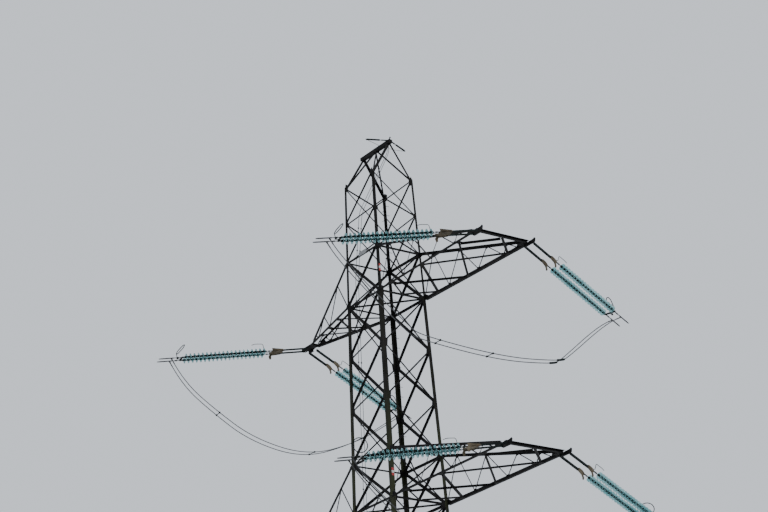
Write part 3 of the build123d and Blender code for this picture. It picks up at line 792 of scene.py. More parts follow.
# Peak: width of the outer rafters, and of the inner ones by the sign of x times y at their foot
OUTER_RAFTER = 0.085
INNER_RAFTER = {1: 0.075, -1: 0.045}
RAFTER_TOP = 0.10
RIDGE_LIP = 0.012
HOOK = [(0, 0), (0, 0.09), (0.022, 0.122), (0.045, 0.09)]


def rafters(mesh, sx, sy):
    """Two angles from a corner of the head to the ridge beam, and the plate at their foot."""
    corner = HALF_TOP - 0.035
    foot = Vector((sx * corner, sy * corner, HEAD_TOP - 0.02))
    for x, width in ((HALF_TOP - RIDGE_BEAM / 2, OUTER_RAFTER), (0.06, INNER_RAFTER[sx * sy])):
        top = Vector((sx * x, sy * 0.035, RIDGE - RAFTER_TOP))
        along = (top - foot).normalized()
        radial = Y * sy
        stand = -(radial - along * radial.dot(along)).normalized()
        flat = along.cross(stand).normalized()
        if flat.x * sx > 0:
            flat = -flat
        mesh.angle(foot, top, flat, stand, width, BAR_THICKNESS)
        for gap in BOLT_GAPS:
            for place in (foot + along * (gap + 0.02), top - along * (gap + 0.05)):
                mesh.bolt(place + flat * width * 0.5, -stand, BAR_THICKNESS)
    edge = HALF_TOP - 0.016
    outline = ((0, -0.22), (0, 0), (0.05, 0.14), (0.22, 0.02), (0.16, -0.22))
    plate = [Vector((sx * (edge - inset), sy * edge, HEAD_TOP + rise)) for inset, rise in outline]
    mesh.prism(plate, Y * (-sy * PLATE))


def peak():
    mesh = Mesh()
    ridge_end = HALF_TOP - RIDGE_BEAM / 2
    half = RIDGE_BEAM / 2
    for sx in (-1, 1):
        for sy in (-1, 1):
            rafters(mesh, sx, sy)
    for sy in (-1, 1):
        section = channel(sy * half, sy * RIDGE_LIP, RIDGE - RIDGE_BEAM, RIDGE, 0.009, 0.010)
        mesh.prism([Vector((-HALF_TOP, y, z)) for y, z in section], X * (2 * HALF_TOP))
        for x in (-ridge_end, 0.0, ridge_end):
            mesh.box((x, sy * (half + 0.004), RIDGE - 0.075), (0.20, PLATE, 0.14))
            for dx in (-0.06, 0.0, 0.06):
                mesh.bolt(Vector((x + dx, sy * (half + PLATE), RIDGE - 0.05)), Y * sy, 0.017)
    for x in (-HALF_TOP + 0.004, HALF_TOP - 0.004):
        mesh.box((x, 0, RIDGE - half), (PLATE, 2 * half - 0.02, RIDGE_BEAM - 0.02))
    foot = Vector((HALF_TOP - 0.025, 0, RIDGE))
    mesh.box(foot + Z * 0.006, (0.05, 0.12, 0.012))
    mesh.rod([foot + Vector((0, y, z)) for y, z in HOOK], 0.020, 0.03)
    mesh.finish("peak", [STEEL], "weathered_steel", "peak_frame")


# Cross-arms: shares of the lower and the upper chord where the webs meet them
SQUARE_ZIGZAG = ([0, 0.245, 0.53, 0.77, 0.90], [0.125, 0.375, 0.63, 0.81])
POINTED_ZIGZAG = ([0, 0.5, 0.82], [0.27, 0.65, 0.88])
# Floors: share of the reach, and the chord that the floor's angle meets there; widths for each hand
SQUARE_FLOOR = [(0.0, 0), (0.135, 1), (0.433, -1), (0.81, 1), (1.0, 0)]
SQUARE_WIDTHS = {1: (0.07, 0.085, 0.085, 0.085), -1: (0.07, 0.07, 0.085, 0.085)}
POINTED_FLOOR = [(0, 1), (0.27, -1), (0.5, 1), (0.7, -1), (1, 0)]
POINTED_WIDTHS = {1: (0.05,) * 4, -1: (0.05,) * 4}
# Chords on the front and back side: lower and upper chord, falling and rising web
SQUARE_CHORD = {-1: (0.096, 0.10, 0.036, 0.024), 1: (0.118, 0.105, 0.036, 0.024)}
POINTED_CHORD = {-1: (0.10, 0.085, 0.036, 0.030), 1: (0.10, 0.060, 0.036, 0.030)}
CHORD_BELOW = 0.03
TOP_CHORD_THICKNESS = 0.010
ARM_GUSSET = (0.012, 0.020)
ARM_GRIP = 0.020
FLOOR_INSET = 0.055
FLOOR_CORNERS = ((-0.13, 0.05), (0.13, 0.05), (0.09, -0.08), (-0.09, -0.08))
LOW_ROOT_BOLTS = ((0.06, 0.04), (0.14, 0.04), (0.22, 0.04))
HIGH_ROOT_PLATE = ((-0.06, 0.07), (0.20, 0.03), (0.26, -0.06), (0.24, -0.09), (-0.06, -0.12))
HIGH_ROOT_BOLTS = ((0.06, -0.01), (0.14, -0.03), (0.22, -0.055))


def arm_frame(level, way, reach, half_end, sign):
    """Face of one upright side of an arm, its length, and its upper root in that face."""
    height = ARM_LEVELS[level]
    root, root_high = half_width(height), half_width(height + ARM_DEPTH)
    low = Vector((way * root, sign * root, height))
    high = Vector((way * root_high, sign * root_high, height + ARM_DEPTH))
    tip = Vector((way * reach, sign * half_end, height))
    u = (tip - low).normalized()
    rise = high - low
    v = (rise - u * rise.dot(u)).normalized()
    outward = u.cross(v)
    if outward.y * sign < 0:
        outward = -outward
    return Face(low, u, v, outward), (tip - low).length, (rise.dot(u), rise.dot(v))


def arm_side(mesh, frame_of_side, zigzag, sizes, stop):
    """Chords, webs and plates of one upright side; its lower chord ends at stop."""
    chord, top_chord, *webs = sizes
    face, run, root_high = frame_of_side
    depth = ARM_GUSSET[0]
    flange_stop = stop - 0.10
    low, high = -CHORD_BELOW, chord - CHORD_BELOW
    centre = (low + high) / 2
    p, q = face.point(0.0, low, depth), face.point(flange_stop, low, depth)
    mesh.angle(p, q, face.v, face.outward, chord, depth)
    face.plate(mesh, [(flange_stop, low), (stop, low), (stop, high), (flange_stop, high)], 0.0, depth)

    top_start = (root_high[0], root_high[1] + top_chord / 2)
    top_end = (run, centre + top_chord / 2)
    slope = (top_start[1] - top_end[1]) / (top_end[0] - top_start[0])
    top_stop = min(run - (high - top_end[1] + top_chord) / slope, stop - 0.05)
    share = (top_stop - top_start[0]) / (top_end[0] - top_start[0])
    top_at_stop = mix(top_start, top_end, share)
    p, q = face.point(*top_start), face.point(*top_at_stop)
    flat = (q - p).normalized().cross(face.outward)
    if flat.z > 0:
        flat = -flat
    mesh.angle(p, q, flat, -face.outward, top_chord, TOP_CHORD_THICKNESS)

    lattice = Lattice(mesh, face, ARM_GUSSET, ARM_BOLT)
    tip = (run, centre)
    lows = [mix((0.0, centre), tip, share) for share in zigzag[0]]
    highs = [mix(root_high, tip, share) for share in zigzag[1]]
    route = [joint for pair in zip(lows, highs) for joint in pair] + lows[len(highs):]
    for k, (a, b) in enumerate(zip(route, route[1:])):
        lattice.bar(a, b, webs[1 - k % 2], False, (0.045, 0.045), CLOSE_GAPS, 0.06)
    joints = [((x, y), [(x - 0.08, y + 0.08 * fall), (x + 0.08, y - 0.08 * fall)])
              for on_chord, fall in ((lows, 0.0), (highs, slope)) for x, y in on_chord]
    lattice.gussets(joints)
    marks = [(x + shift, y) for (x, y), _ in joints for shift in (-0.05, 0.05)]

    corner = top_at_stop[1] - 0.02
    tip_plate = [(top_stop - 0.34, centre), (top_stop - 0.22, corner + 0.22 * slope), (top_stop, corner),
                 (top_stop + 0.14, centre + 0.03), (top_stop + 0.14, centre - 0.03)]
    face.plate(mesh, tip_plate, *ARM_GUSSET)
    marks += [(top_stop - 0.27 + 0.10 * k, centre + 0.01) for k in range(4)]
    for x in (top_stop - 0.20, top_stop - 0.10):
        marks.append((x, top_start[1] - slope * (x - top_start[0]) - top_chord * 0.5))
    root_plate = [(-0.06, -0.02), (0.26, -0.02), (0.26, centre + 0.03), (0.08, 0.17), (-0.06, 0.20)]
    face.plate(mesh, root_plate, *ARM_GUSSET)
    face.plate(mesh, [(root_high[0] + x, root_high[1] + y) for x, y in HIGH_ROOT_PLATE], *ARM_GUSSET)
    for x, y in marks:
        mesh.bolt(face.point(x, y), face.outward, ARM_GRIP, ARM_BOLT)
    for x, y in (*LOW_ROOT_BOLTS, *((root_high[0] + x, root_high[1] + y) for x, y in HIGH_ROOT_BOLTS)):
        mesh.bolt(face.point(x, y), face.outward, ARM_GRIP, BOLT)


def arm_floor(mesh, level, way, reach, half_end, stop, route, widths):
    """Angles that cross between the lower chords, one hand above the plates and one below."""
    thickness = ARM_GUSSET[0]
    root = half_width(ARM_LEVELS[level])
    face = level_face(ARM_LEVELS[level] - CHORD_BELOW + thickness)

    def place(share, side):
        x = root + (reach - root) * share
        y = root + (half_end - root) * share - FLOOR_INSET
        return (way * min(x, stop), side * y)

    for hand in (-1, 1):
        above = hand > 0
        depth, outer = (0.0, -BAR_THICKNESS) if above else (thickness, 0.0)
        for (share, side), (after, next_side), web in zip(route, route[1:], widths[hand]):
            a, b = place(share, side * hand), place(after, next_side * hand)
            p, q, along = face.brace(mesh, a, b, web, depth, above, (0.05, 0.05), FLOOR_STAND)
            for end, inwards in ((p, along), (q, -along)):
                face.bolts(mesh, end, inwards, CLOSE_GAPS, outer, thickness + BAR_THICKNESS, ARM_BOLT)
    for share, _ in route[1:-1]:
        for side in (-1, 1):
            x, y = place(share, side)
            face.plate(mesh, [(x + a, y + side * b) for a, b in FLOOR_CORNERS], 0.0, thickness)


def end_plate(mesh, x, y, height, sign):
    """Upright plate across an arm's end, with the pins that the sets' links hang from."""
    low = height - END_PLATE_BELOW - END_PLATE_HEIGHT / 2
    high = low + END_PLATE_HEIGHT
    end = END_PLATE_REACH if x > 0 else -TIP_PLATE_REACH
    outline = [(-0.35, height - 0.04), (0.1, low + 0.05), (0.60, low + 0.03), (0.92, low + 0.06),
               (1.0, high - 0.05), (0.90, high), (0.68, high - 0.03), (-0.35, height + 0.02)]
    mesh.prism([Vector((x + end * a, y, z)) for a, z in outline], Y * (-sign * END_PLATE))
    for dx in (-0.08, 0.0, 0.08, 0.16):
        for dz in (0.03, -0.025):
            mesh.bolt(Vector((x + dx, y, height + dz)), Y * sign, END_PLATE)
    mesh.box((x, y - sign * 0.06, low + 0.03), (abs(end), 0.08, 0.012))


def square_end(mesh, level):
    """End beam between the chords, and the flat plates in its corners."""
    reach, half_end = SQUARE_REACH[level], SQUARE_HALF_END[level]
    low = ARM_LEVELS[level] - CHORD_BELOW
    section = channel(reach - ARM_CHORD, reach, low, low + ARM_CHORD, 0.010, 0.010)
    mesh.prism([Vector((x, -half_end, z)) for x, z in section], Y * (2 * half_end))
    for sign in (-1, 1):
        end_plate(mesh, reach - ARM_CHORD / 2, sign * (half_end + END_PLATE), ARM_LEVELS[level], sign)
        mesh.box((reach - 0.23, sign * (half_end - 0.13), low + 0.018), (0.34, 0.22, 0.010))
        for dx in (0.12, 0.23, 0.34):
            for dy in (0.08, 0.19):
                mesh.bolt(Vector((reach - dx, sign * (half_end - dy), low + 0.023)), Z, 0.022)


def pointed_end(mesh, level):
    """Two flat tip plates, the web between them and the bolts through both."""
    height, tip = ARM_LEVELS[level], -POINTED_REACH[level]
    half_outline = [(0.48, TIP_HALF + 0.03), (0.30, TIP_HALF), (-0.10, TIP_HALF), (-0.24, 0.05)]
    outline = half_outline + [(x, -y) for x, y in half_outline[::-1]]
    for rise in (-0.02, 0.055):
        mesh.prism([Vector((tip + x, y, height + rise)) for x, y in outline], Z * 0.012)
    for sign in (-1, 1):
        end_plate(mesh, tip, sign * (TIP_HALF + END_PLATE), height, sign)
        for dx in (0.22, 0.12, 0.02):
            mesh.bolt(Vector((tip + dx, sign * (TIP_HALF - 0.04), height + 0.067)), Z, 0.10)
    mesh.box((tip + 0.02, 0, height + 0.02), (0.50, 0.016, 0.07))


def cross_arm(name, kind, level):
    mesh = Mesh()
    if kind == "square":
        way, reach, half_end, stretch = 1, SQUARE_REACH[level], SQUARE_HALF_END[level], -ARM_CHORD
        zigzag, chords = SQUARE_ZIGZAG, SQUARE_CHORD
        floor_plan = (reach - 0.10, SQUARE_FLOOR, SQUARE_WIDTHS)
    else:
        way, reach, half_end, stretch = -1, POINTED_REACH[level] - END_PLATE_REACH, TIP_HALF, 0.10
        zigzag, chords = POINTED_ZIGZAG, POINTED_CHORD
        plate_start = POINTED_REACH[level] + END_PLATE_REACH - TIP_PLATE_LENGTH
        floor_plan = (plate_start - 0.1, POINTED_FLOOR, POINTED_WIDTHS)
    for sign in (-1, 1):
        side = arm_frame(level, way, reach, half_end, sign)
        arm_side(mesh, side, zigzag, chords[sign], side[1] + stretch)
    arm_floor(mesh, level, way, reach, half_end, *floor_plan)
    if kind == "square":
        square_end(mesh, level)
    else:
        pointed_end(mesh, level)
    mesh.finish(f"arm_frame_{name}", [ARM_STEEL], "arm_steel", f"arm_{name}")


# Tension sets
class Station:
    """Local frame along the line: x runs along it, y is level and towards +X, z is square to both."""

    def __init__(self, anchor, ahead, mesh=None, dip=None):
        turn, dip = radians(TURN[ahead]), radians(DIP[ahead] if dip is None else dip)
        way = 1 if ahead else -1
        self.mesh, self.origin = mesh, anchor
        self.along = Vector((-sin(turn) * cos(dip), way * cos(turn) * cos(dip), -sin(dip)))
        self.across = Vector((cos(turn), way * sin(turn), 0))
        self.normal = self.along.cross(self.across)
        if self.normal.z < 0:
            self.normal = -self.normal

    def point(self, x, y, z=0.0):
        return self.origin + self.along * x + self.across * y + self.normal * z

    def bar(self, start, end, radius, sides=10, paint=0, end_radius=None):
        self.mesh.round_bar(self.point(*start), self.point(*end), radius, sides, paint, end_radius)

    def cross_bolt(self, x, y, half, radius, sides=6):
        """Level bar across the line."""
        self.bar((x, y - half), (x, y + half), radius, sides)

    def upright_bolt(self, x, y, half, radius):
        self.bar((x, y, -half), (x, y, half), radius, 6)

    def block(self, centre, size, paint=0):
        x, y, z = size
        self.mesh.block(self.point(*centre), self.along * x, self.across * y, self.normal * z, paint)

    def flat_plate(self, outline, thickness, paint=0):
        """Plate in the set's own level plane, from one half of its outline mirrored to the other side."""
        whole = outline + [(x, -y) for x, y in outline[::-1]]
        points = [self.point(x, y, -thickness / 2) for x, y in whole]
        self.mesh.prism(points, self.normal * thickness, paint)

    def upright_plate(self, y, outline, thickness, paint=0):
        points = [self.point(x, y - thickness / 2, z) for x, z in outline]
        self.mesh.prism(points, self.across * thickness, paint)


def anchors(kind, level):
    height = ARM_LEVELS[level] - ATTACHED_BELOW
    if kind == "square":
        x, y = SQUARE_REACH[level] - ARM_CHORD / 2, SQUARE_HALF_END[level] + END_PLATE
    else:
        x, y = -POINTED_REACH[level], TIP_HALF + END_PLATE
    return Vector((x, -y, height)), Vector((x, y, height))


def loop_points(kind, start, end):
    return [start + (end - start) * share - Z * drop for share, drop in JUMPER_ROUTES[kind]]


def terminal_ends(kind, level, side):
    """Where a loop's two terminals leave the clamps, and the ways they point."""
    tops = []
    for ahead, anchor in enumerate(anchors(kind, level)):
        place = Station(anchor, ahead)
        tops.append(place.point(YOKE_END + TERMINAL_AT, side * CONDUCTOR_SPACING[ahead] / 2))
    route = loop_points(kind, *tops)
    return tops, ((route[1] - route[0]).normalized(), (route[-2] - route[-1]).normalized())


# One disc: distance along the string and radius, cap first, towards the tower
CAP_PROFILE = [(0.0, 0.0), (0.0, 0.022), (0.012, 0.036), (0.050, 0.046), (0.074, 0.050), (0.078, 0.0)]
SKIRT_PROFILE = [(0.070, 0.0), (0.070, 0.052), (0.078, 0.092), (0.090, 0.126), (0.102, 0.140),
                 (0.108, 0.137), (0.100, 0.118), (0.096, 0.106), (0.112, 0.100), (0.098, 0.090),
                 (0.096, 0.076), (0.110, 0.069), (0.096, 0.060), (0.096, 0.0)]
PIN_PROFILE = [(0.092, 0.0), (0.092, 0.048), (0.118, 0.046), (0.128, 0.045), (0.176, 0.045), (0.176, 0.0)]


def revolve(profile, steps):
    """Points (along, first, second) and faces of a profile turned about the x axis."""
    points, faces, rows = [], [], []
    for x, r in profile:
        if r < 1e-6:
            rows.append([len(points)] * steps)
            points.append((x, 0.0, 0.0))
        else:
            rows.append(list(range(len(points), len(points) + steps)))
            points += [(x, r * cos(2 * pi * k / steps), r * sin(2 * pi * k / steps)) for k in range(steps)]
    for a, b in zip(rows, rows[1:]):
        for k in range(steps):
            n = (k + 1) % steps
            face = list(dict.fromkeys((a[k], a[n], b[n], b[k])))
            if len(face) > 2:
                faces.append(face)
    return points, faces


# Forms of a disc, each with its material number
DISC_FORMS = [(revolve(SKIRT_PROFILE, 20), 0), (revolve(CAP_PROFILE, 12), 1), (revolve(PIN_PROFILE, 8), 1)]


def insulator_strings(name, kind, level):
    mesh = Mesh()
    for ahead, anchor in enumerate(anchors(kind, level)):
        place = Station(anchor, ahead)
        for side in (-1, 1):
            y = side * STRING_SPACING[ahead] / 2
            for count in range(DISC_COUNT):
                start = STRING_START + DISC_PITCH * count
                for (points, faces), paint in DISC_FORMS:
                    mesh.add([place.point(start + x, y + a, b) for x, a, b in points], faces, paint)
    piece = mesh.finish(f"strings_{name}", [GLASS, CAPS], "teal_glass", f"insulators_{name}")
    for polygon in piece.data.polygons:
        polygon.use_smooth = True


# Hardware's material numbers: dark steel, aluminium, rust
DARK, ALUMINIUM, RUSTY = 0, 1, 2
STRAP_BOLTS = 4
CLAMP_RADIUS = 0.024
# Upright plates at the links' ends, their outlines along the set and up
AHEAD_PLATE = [(LINK_END - 0.02, -0.03), (LINK_END - 0.02, 0.04), (LINK_END + 0.12, 0.10),
               (PLATE_END - 0.10, 0.09), (PLATE_END + 0.02, 0.03), (PLATE_END, -0.05),
               (PLATE_END - 0.14, -0.09), (LINK_END + 0.10, -0.05)]
AHEAD_HOOK = [(PLATE_END - 0.16, -0.06), (PLATE_END - 0.05, -0.06), (PLATE_END + 0.02, -0.16),
              (PLATE_END, -0.24), (PLATE_END - 0.05, -0.24), (PLATE_END - 0.06, -0.17)]
BACK_HOOK = [(LINK_END - 0.02, -0.03), (LINK_END - 0.02, 0.03), (PLATE_END - 0.04, 0.09),
             (PLATE_END + 0.04, 0.10), (PLATE_END + 0.03, 0.0), (PLATE_END + 0.09, -0.09),
             (PLATE_END + 0.07, -0.21), (PLATE_END, -0.21), (PLATE_END - 0.03, -0.06)]
# Arcing horns at the tower's end, along the set and up
BACK_HORN = [(PLATE_END - 0.06, 0.0), (1.72, 0.02), (1.75, 0.38), (2.08, 0.40), (2.22, 0.36)]
AHEAD_HORN = [(PLATE_END - 0.10, 0.06), (1.52, 0.10), (1.56, 0.36), (1.93, 0.36), (2.05, 0.33)]
# Horn at the line's end of the top sets, and ring on the others
RACKET = ((0.0, -0.03), (0.12, -0.08), (0.40, -0.08), (0.52, -0.03),
          (0.52, 0.03), (0.40, 0.08), (0.12, 0.08), (0.0, 0.03))
RACKET_RISE = radians(42)
RACKET_LEAN = 0.42
RING_RADIUS = 0.26
RING_STEPS = 24


def two_straps(place, y, start, end, depth):
    """A link of two flat straps, with the bolts that hold them together."""
    for side in (-1, 1):
        place.block(((start + end) / 2, y + side * 0.020), (end - start, 0.010, depth))
    for k in range(STRAP_BOLTS):
        x = start + 0.05 + (end - start - 0.10) * k / (STRAP_BOLTS - 1)
        place.cross_bolt(x, y, 0.042, 0.013, 8)
        for side in (-1, 1):
            place.bar((x, y + side * 0.025), (x, y + side * 0.040), 0.024, 6)


def tower_end(place, ahead, half):
    """Links, plates, chain to the strings and arcing horn."""
    for y in (-half, half):
        two_straps(place, y, 0.03, LINK_END + 0.05, LINK_DEPTH[ahead])
        place.block((0.03, y), (0.055, 0.026, 0.09))
        if ahead:
            place.upright_plate(y, AHEAD_PLATE, 0.034, RUSTY)
            place.upright_plate(y, AHEAD_HOOK, 0.030, RUSTY)
        for k in range(3):
            x = PLATE_END - 0.04 + 0.10 * k
            place.block((x, y), (0.085, 0.05, 0.022) if k % 2 else (0.085, 0.022, 0.05))
            place.cross_bolt(x, y, 0.035, 0.010)
        place.bar((PLATE_END + 0.19, y), (STRING_START + 0.01, y), 0.013, 8)
    horn, horn_side = (AHEAD_HORN, half) if ahead else (BACK_HORN, 0.0)
    place.mesh.rod([place.point(x, horn_side, z) for x, z in horn], 0.011, 0.07)
    if not ahead:
        wide = half + 0.11
        place.flat_plate([(LINK_END - 0.06, -half - 0.05), (LINK_END + 0.02, -half - 0.08),
                          (PLATE_END - 0.12, -wide), (PLATE_END + 0.04, -wide + 0.04)], 0.022, RUSTY)
        for y in (-wide + 0.05, wide - 0.05):
            place.upright_plate(y, BACK_HOOK, 0.022, RUSTY)
        for y in (-half, half):
            for x in (LINK_END + 0.01, PLATE_END - 0.05):
                place.upright_bolt(x, y, 0.03, 0.020)


def end_ring(place, ahead, level):
    """Post on the yoke with its horn, a long loop on the top sets and a round ring on the others."""
    foot = place.point(YOKE_END - 0.04, 0, 0.22)
    place.mesh.rod([place.point(YOKE_END - 0.05, 0, 0.0), foot], 0.014)
    if level == len(ARM_LEVELS) - 1:
        rise = place.normal * sin(RACKET_RISE) - place.along * cos(RACKET_RISE)
        square = place.along * sin(RACKET_RISE) + place.normal * cos(RACKET_RISE)
        wide = place.across + square * RACKET_LEAN
        place.mesh.rod([foot + rise * far + wide * side for far, side in RACKET], 0.016, 0.05, closed=True)
        return
    way = (place.along * 0.5 + place.across * 0.85).normalized() if ahead else place.along
    centre = foot - way * RING_RADIUS * 0.6 + place.normal * RING_RADIUS * 0.8
    place.mesh.tube(ring(centre, way, place.normal, RING_RADIUS, RING_STEPS), 0.017, closed=True)


def line_end(place, half, line_half, ahead, level):
    """Yoke, horn or ring, and the dead-end clamps."""
    edge = half + 0.065
    near, far = STRING_END + 0.06, STRING_END + 0.15
    place.flat_plate([(near, -edge + 0.03), (near + 0.03, -edge), (far, -half - 0.02)], 0.016)
    for y, end in ((-line_half, YOKE_END - 0.01), (0.0, YOKE_END - 0.02), (line_half, YOKE_END - 0.01)):
        place.block(((far - 0.02 + end) / 2, y), (end - far + 0.02, 0.04, 0.016))
    for y in (-half, half):
        place.bar((STRING_END - 0.01, y), (STRING_END + 0.10, y), 0.012, 8)
        place.block((STRING_END + 0.07, y), (0.07, 0.05, 0.046))
        place.upright_bolt(STRING_END + 0.10, y, 0.03, 0.018)
    end_ring(place, ahead, level)
    place.block((YOKE_END - 0.05, 0, 0.02), (0.06, 0.06, 0.04))
    tip = YOKE_END + CLAMP_LENGTH
    for y in (-line_half, line_half):
        place.upright_bolt(YOKE_END - 0.04, y, 0.026, 0.018)
        place.block((YOKE_END - 0.02, y), (0.10, 0.022, 0.046))
        place.bar((YOKE_END + 0.02, y), (YOKE_END + 0.16, y), 0.014)
        place.bar((YOKE_END + 0.14, y), (YOKE_END + 0.17, y), 0.020, 10, ALUMINIUM, CLAMP_RADIUS)
        place.bar((YOKE_END + 0.17, y), (tip - 0.12, y), CLAMP_RADIUS, 14, ALUMINIUM)
        place.bar((tip - 0.12, y), (tip, y), CLAMP_RADIUS, 14, ALUMINIUM, 0.017)


def fittings(name, kind, level):
    """Hardware of both sets of an arm, and the terminals that its loops leave from."""
    mesh = Mesh()
    for ahead, anchor in enumerate(anchors(kind, level)):
        place = Station(anchor, ahead, mesh)
        half, line_half = STRING_SPACING[ahead] / 2, CONDUCTOR_SPACING[ahead] / 2
        tower_end(place, ahead, half)
        line_end(place, half, line_half, ahead, level)
        for side in (-1, 1):
            tops, ways = terminal_ends(kind, level, side)
            top, way = tops[ahead], ways[ahead]
            mesh.block(top + way * 0.03, way * 0.10, place.across * 0.014, place.along * 0.06, ALUMINIUM)
            bolt = place.across * 0.022
            for gap in (0.035, 0.065):
                mesh.round_bar(top + way * gap - bolt, top + way * gap + bolt, 0.011, 6, DARK)
            mesh.round_bar(top + way * 0.07, top + way * (TERMINAL_LENGTH + 0.01), 0.022, 12, ALUMINIUM)
    mesh.finish(f"hardware_{name}", [CAPS, CLAMP, RUST], "rusty_fittings", f"fittings_{name}")


# Jumper loops
def loop_curve(name, kind, level, side):
    tops, ways = terminal_ends(kind, level, side)
    points = loop_points(kind, *tops)
    points[0] = tops[0] + ways[0] * TERMINAL_LENGTH
    points[-1] = tops[1] + ways[1] * TERMINAL_LENGTH
    curve = bpy.data.curves.new(name, "CURVE")
    curve.dimensions = "3D"
    curve.resolution_u = 24
    spline = curve.splines.new("NURBS")
    spline.points.add(len(points) - 1)
    for point, place in zip(spline.points, points):
        point.co = (*place, 1.0)
    spline.order_u = 3
    spline.use_endpoint_u = True
    piece = placed(name, curve)
    bpy.context.view_layer.update()
    bare = bpy.data.meshes.new_from_object(piece)
    line = [vertex.co.copy() for vertex in bare.vertices]
    bpy.data.meshes.remove(bare)
    curve.bevel_depth = JUMPER_DIAMETER / 2
    curve.bevel_resolution = 4
    curve.use_fill_caps = True
    curve.materials.append(WIRE)
    return piece, line, points[0]


def at_share(line, share):
    """Point of a loop a share of the level way across, and which way the loop runs there."""
    flat = (line[-1] - line[0]).xy
    for here, after in zip(line, line[1:]):
        if (after - line[0]).xy.dot(flat) / flat.length_squared >= share:
            return here, (after - here).normalized()
    return line[-1], (line[-1] - line[-2]).normalized()


def loop_spacer(name, lines, share):
    """Bar that keeps two loops apart, with a clamp on each."""
    mesh = Mesh()
    (a, way), (b, _) = at_share(lines[0], share), at_share(lines[1], share)
    across = (b - a).normalized()
    up = way.cross(across).normalized()
    mesh.block((a + b) / 2, b - a, way * 0.030, up * 0.018)
    for centre in (a, b):
        for side in (-1, 1):
            mesh.block(centre - up * side * 0.021, across * 0.060, way * 0.055, up * 0.012)
            bolt = centre + across * side * 0.026
            mesh.round_bar(bolt - up * 0.034, bolt + up * 0.034, 0.007, 6)
    mesh.finish(name, [CAPS], "grey_conductor")


def loop_sleeve(name, line):
    """Dark sleeve pressed on a loop where its two lengths are joined."""
    mesh = Mesh()
    start, _ = at_share(line, SLEEVE_AT)
    index = line.index(start)
    path, covered = [start], 0.0
    while covered < SLEEVE_LENGTH:
        covered += (line[index + 1] - line[index]).length
        index += 1
        path.append(line[index])
    mesh.tube(path, SLEEVE_RADIUS, 12)
    return mesh.finish(name, [CAPS], "grey_conductor")


def jumpers(name, kind, level, lengths):
    words = ("inner", "outer")
    made = [loop_curve(f"loop_{name}_{word}", kind, level, side) for word, side in zip(words, (-1, 1))]
    lines = [line for _, line, _ in made]
    for k, share in enumerate(SPACERS[kind]):
        loop_spacer(f"loop_spacer_{name}_{k}", lines, share)
    sleeves = [[], []]
    if kind == "square":
        sleeves = [[loop_sleeve(f"loop_sleeve_{name}_{k}", line)] for k, line in enumerate(lines)]
    for word, (piece, _, leaves), length, on_loop in zip(words, made, lengths, sleeves):
        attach(piece, "root")
        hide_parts(f"jumper_{name}_{word}")


# Earthwire clamps and the bonds from them to the ridge
EARTH_END = 0.92
EARTH_DIP = (2, 9)
EARTH_BELOW = 0.03
EARTH_RADIUS = 0.034


def earthwire():
    mesh = Mesh()
    for ahead, way in enumerate((-1, 1)):
        anchor = Vector((HALF_TOP - RIDGE_BEAM / 2, way * RIDGE_BEAM / 2, RIDGE - EARTH_BELOW))
        place = Station(anchor, ahead, mesh, EARTH_DIP[ahead])
        place.block((0.03, 0), (0.07, 0.018, 0.05))
        for side in (-1, 1):
            place.block((0.15, side * 0.016), (0.22, 0.007, 0.034))
        for x in (0.055, 0.245):
            place.cross_bolt(x, 0, 0.03, 0.010)
        place.bar((0.22, 0), (0.30, 0), 0.011, 8)
        place.bar((0.30, 0), (0.34, 0), 0.016, 12, 1, EARTH_RADIUS)
        place.bar((0.34, 0), (EARTH_END - 0.08, 0), EARTH_RADIUS, 12, 1)
        place.bar((EARTH_END - 0.08, 0), (EARTH_END, 0), EARTH_RADIUS, 12, 1, 0.012)
        place.block((EARTH_END - 0.06, 0, -0.010), (0.05, 0.045, 0.04), 1)
        from_clamp = ((0.06, 0, -0.012), (0.16, 0, -0.07), (0.45, -0.04, -0.17))
        bond = [place.point(EARTH_END - back, y, z) for back, y, z in from_clamp]
        under = Vector((HALF_TOP - 0.26, way * 0.05, RIDGE - RIDGE_BEAM - 0.02))
        bond += [under + Vector((0.05, way * 0.30, -0.12)), under + Vector((0, way * 0.05, -0.10)), under]
        mesh.rod(bond, 0.008, 0.12, paint=1)
    mesh.finish("earthwire_ends", [CAPS, CAPS], "rusty_fittings", "earthwire_clamps")


# Down leads
LEAD_DIAMETER = 0.02
LEAD_SPACING = 0.13
LEAD_BEND = 0.25
LEAD_DEPTH = LEG_THICKNESS + 0.055 + 0.0003 + LEAD_DIAMETER / 2
LEAD_AT_LEG = 0.11
LEAD_DROP = 0.33
LEAD_CLIPS = (3, 14, 6, 8)


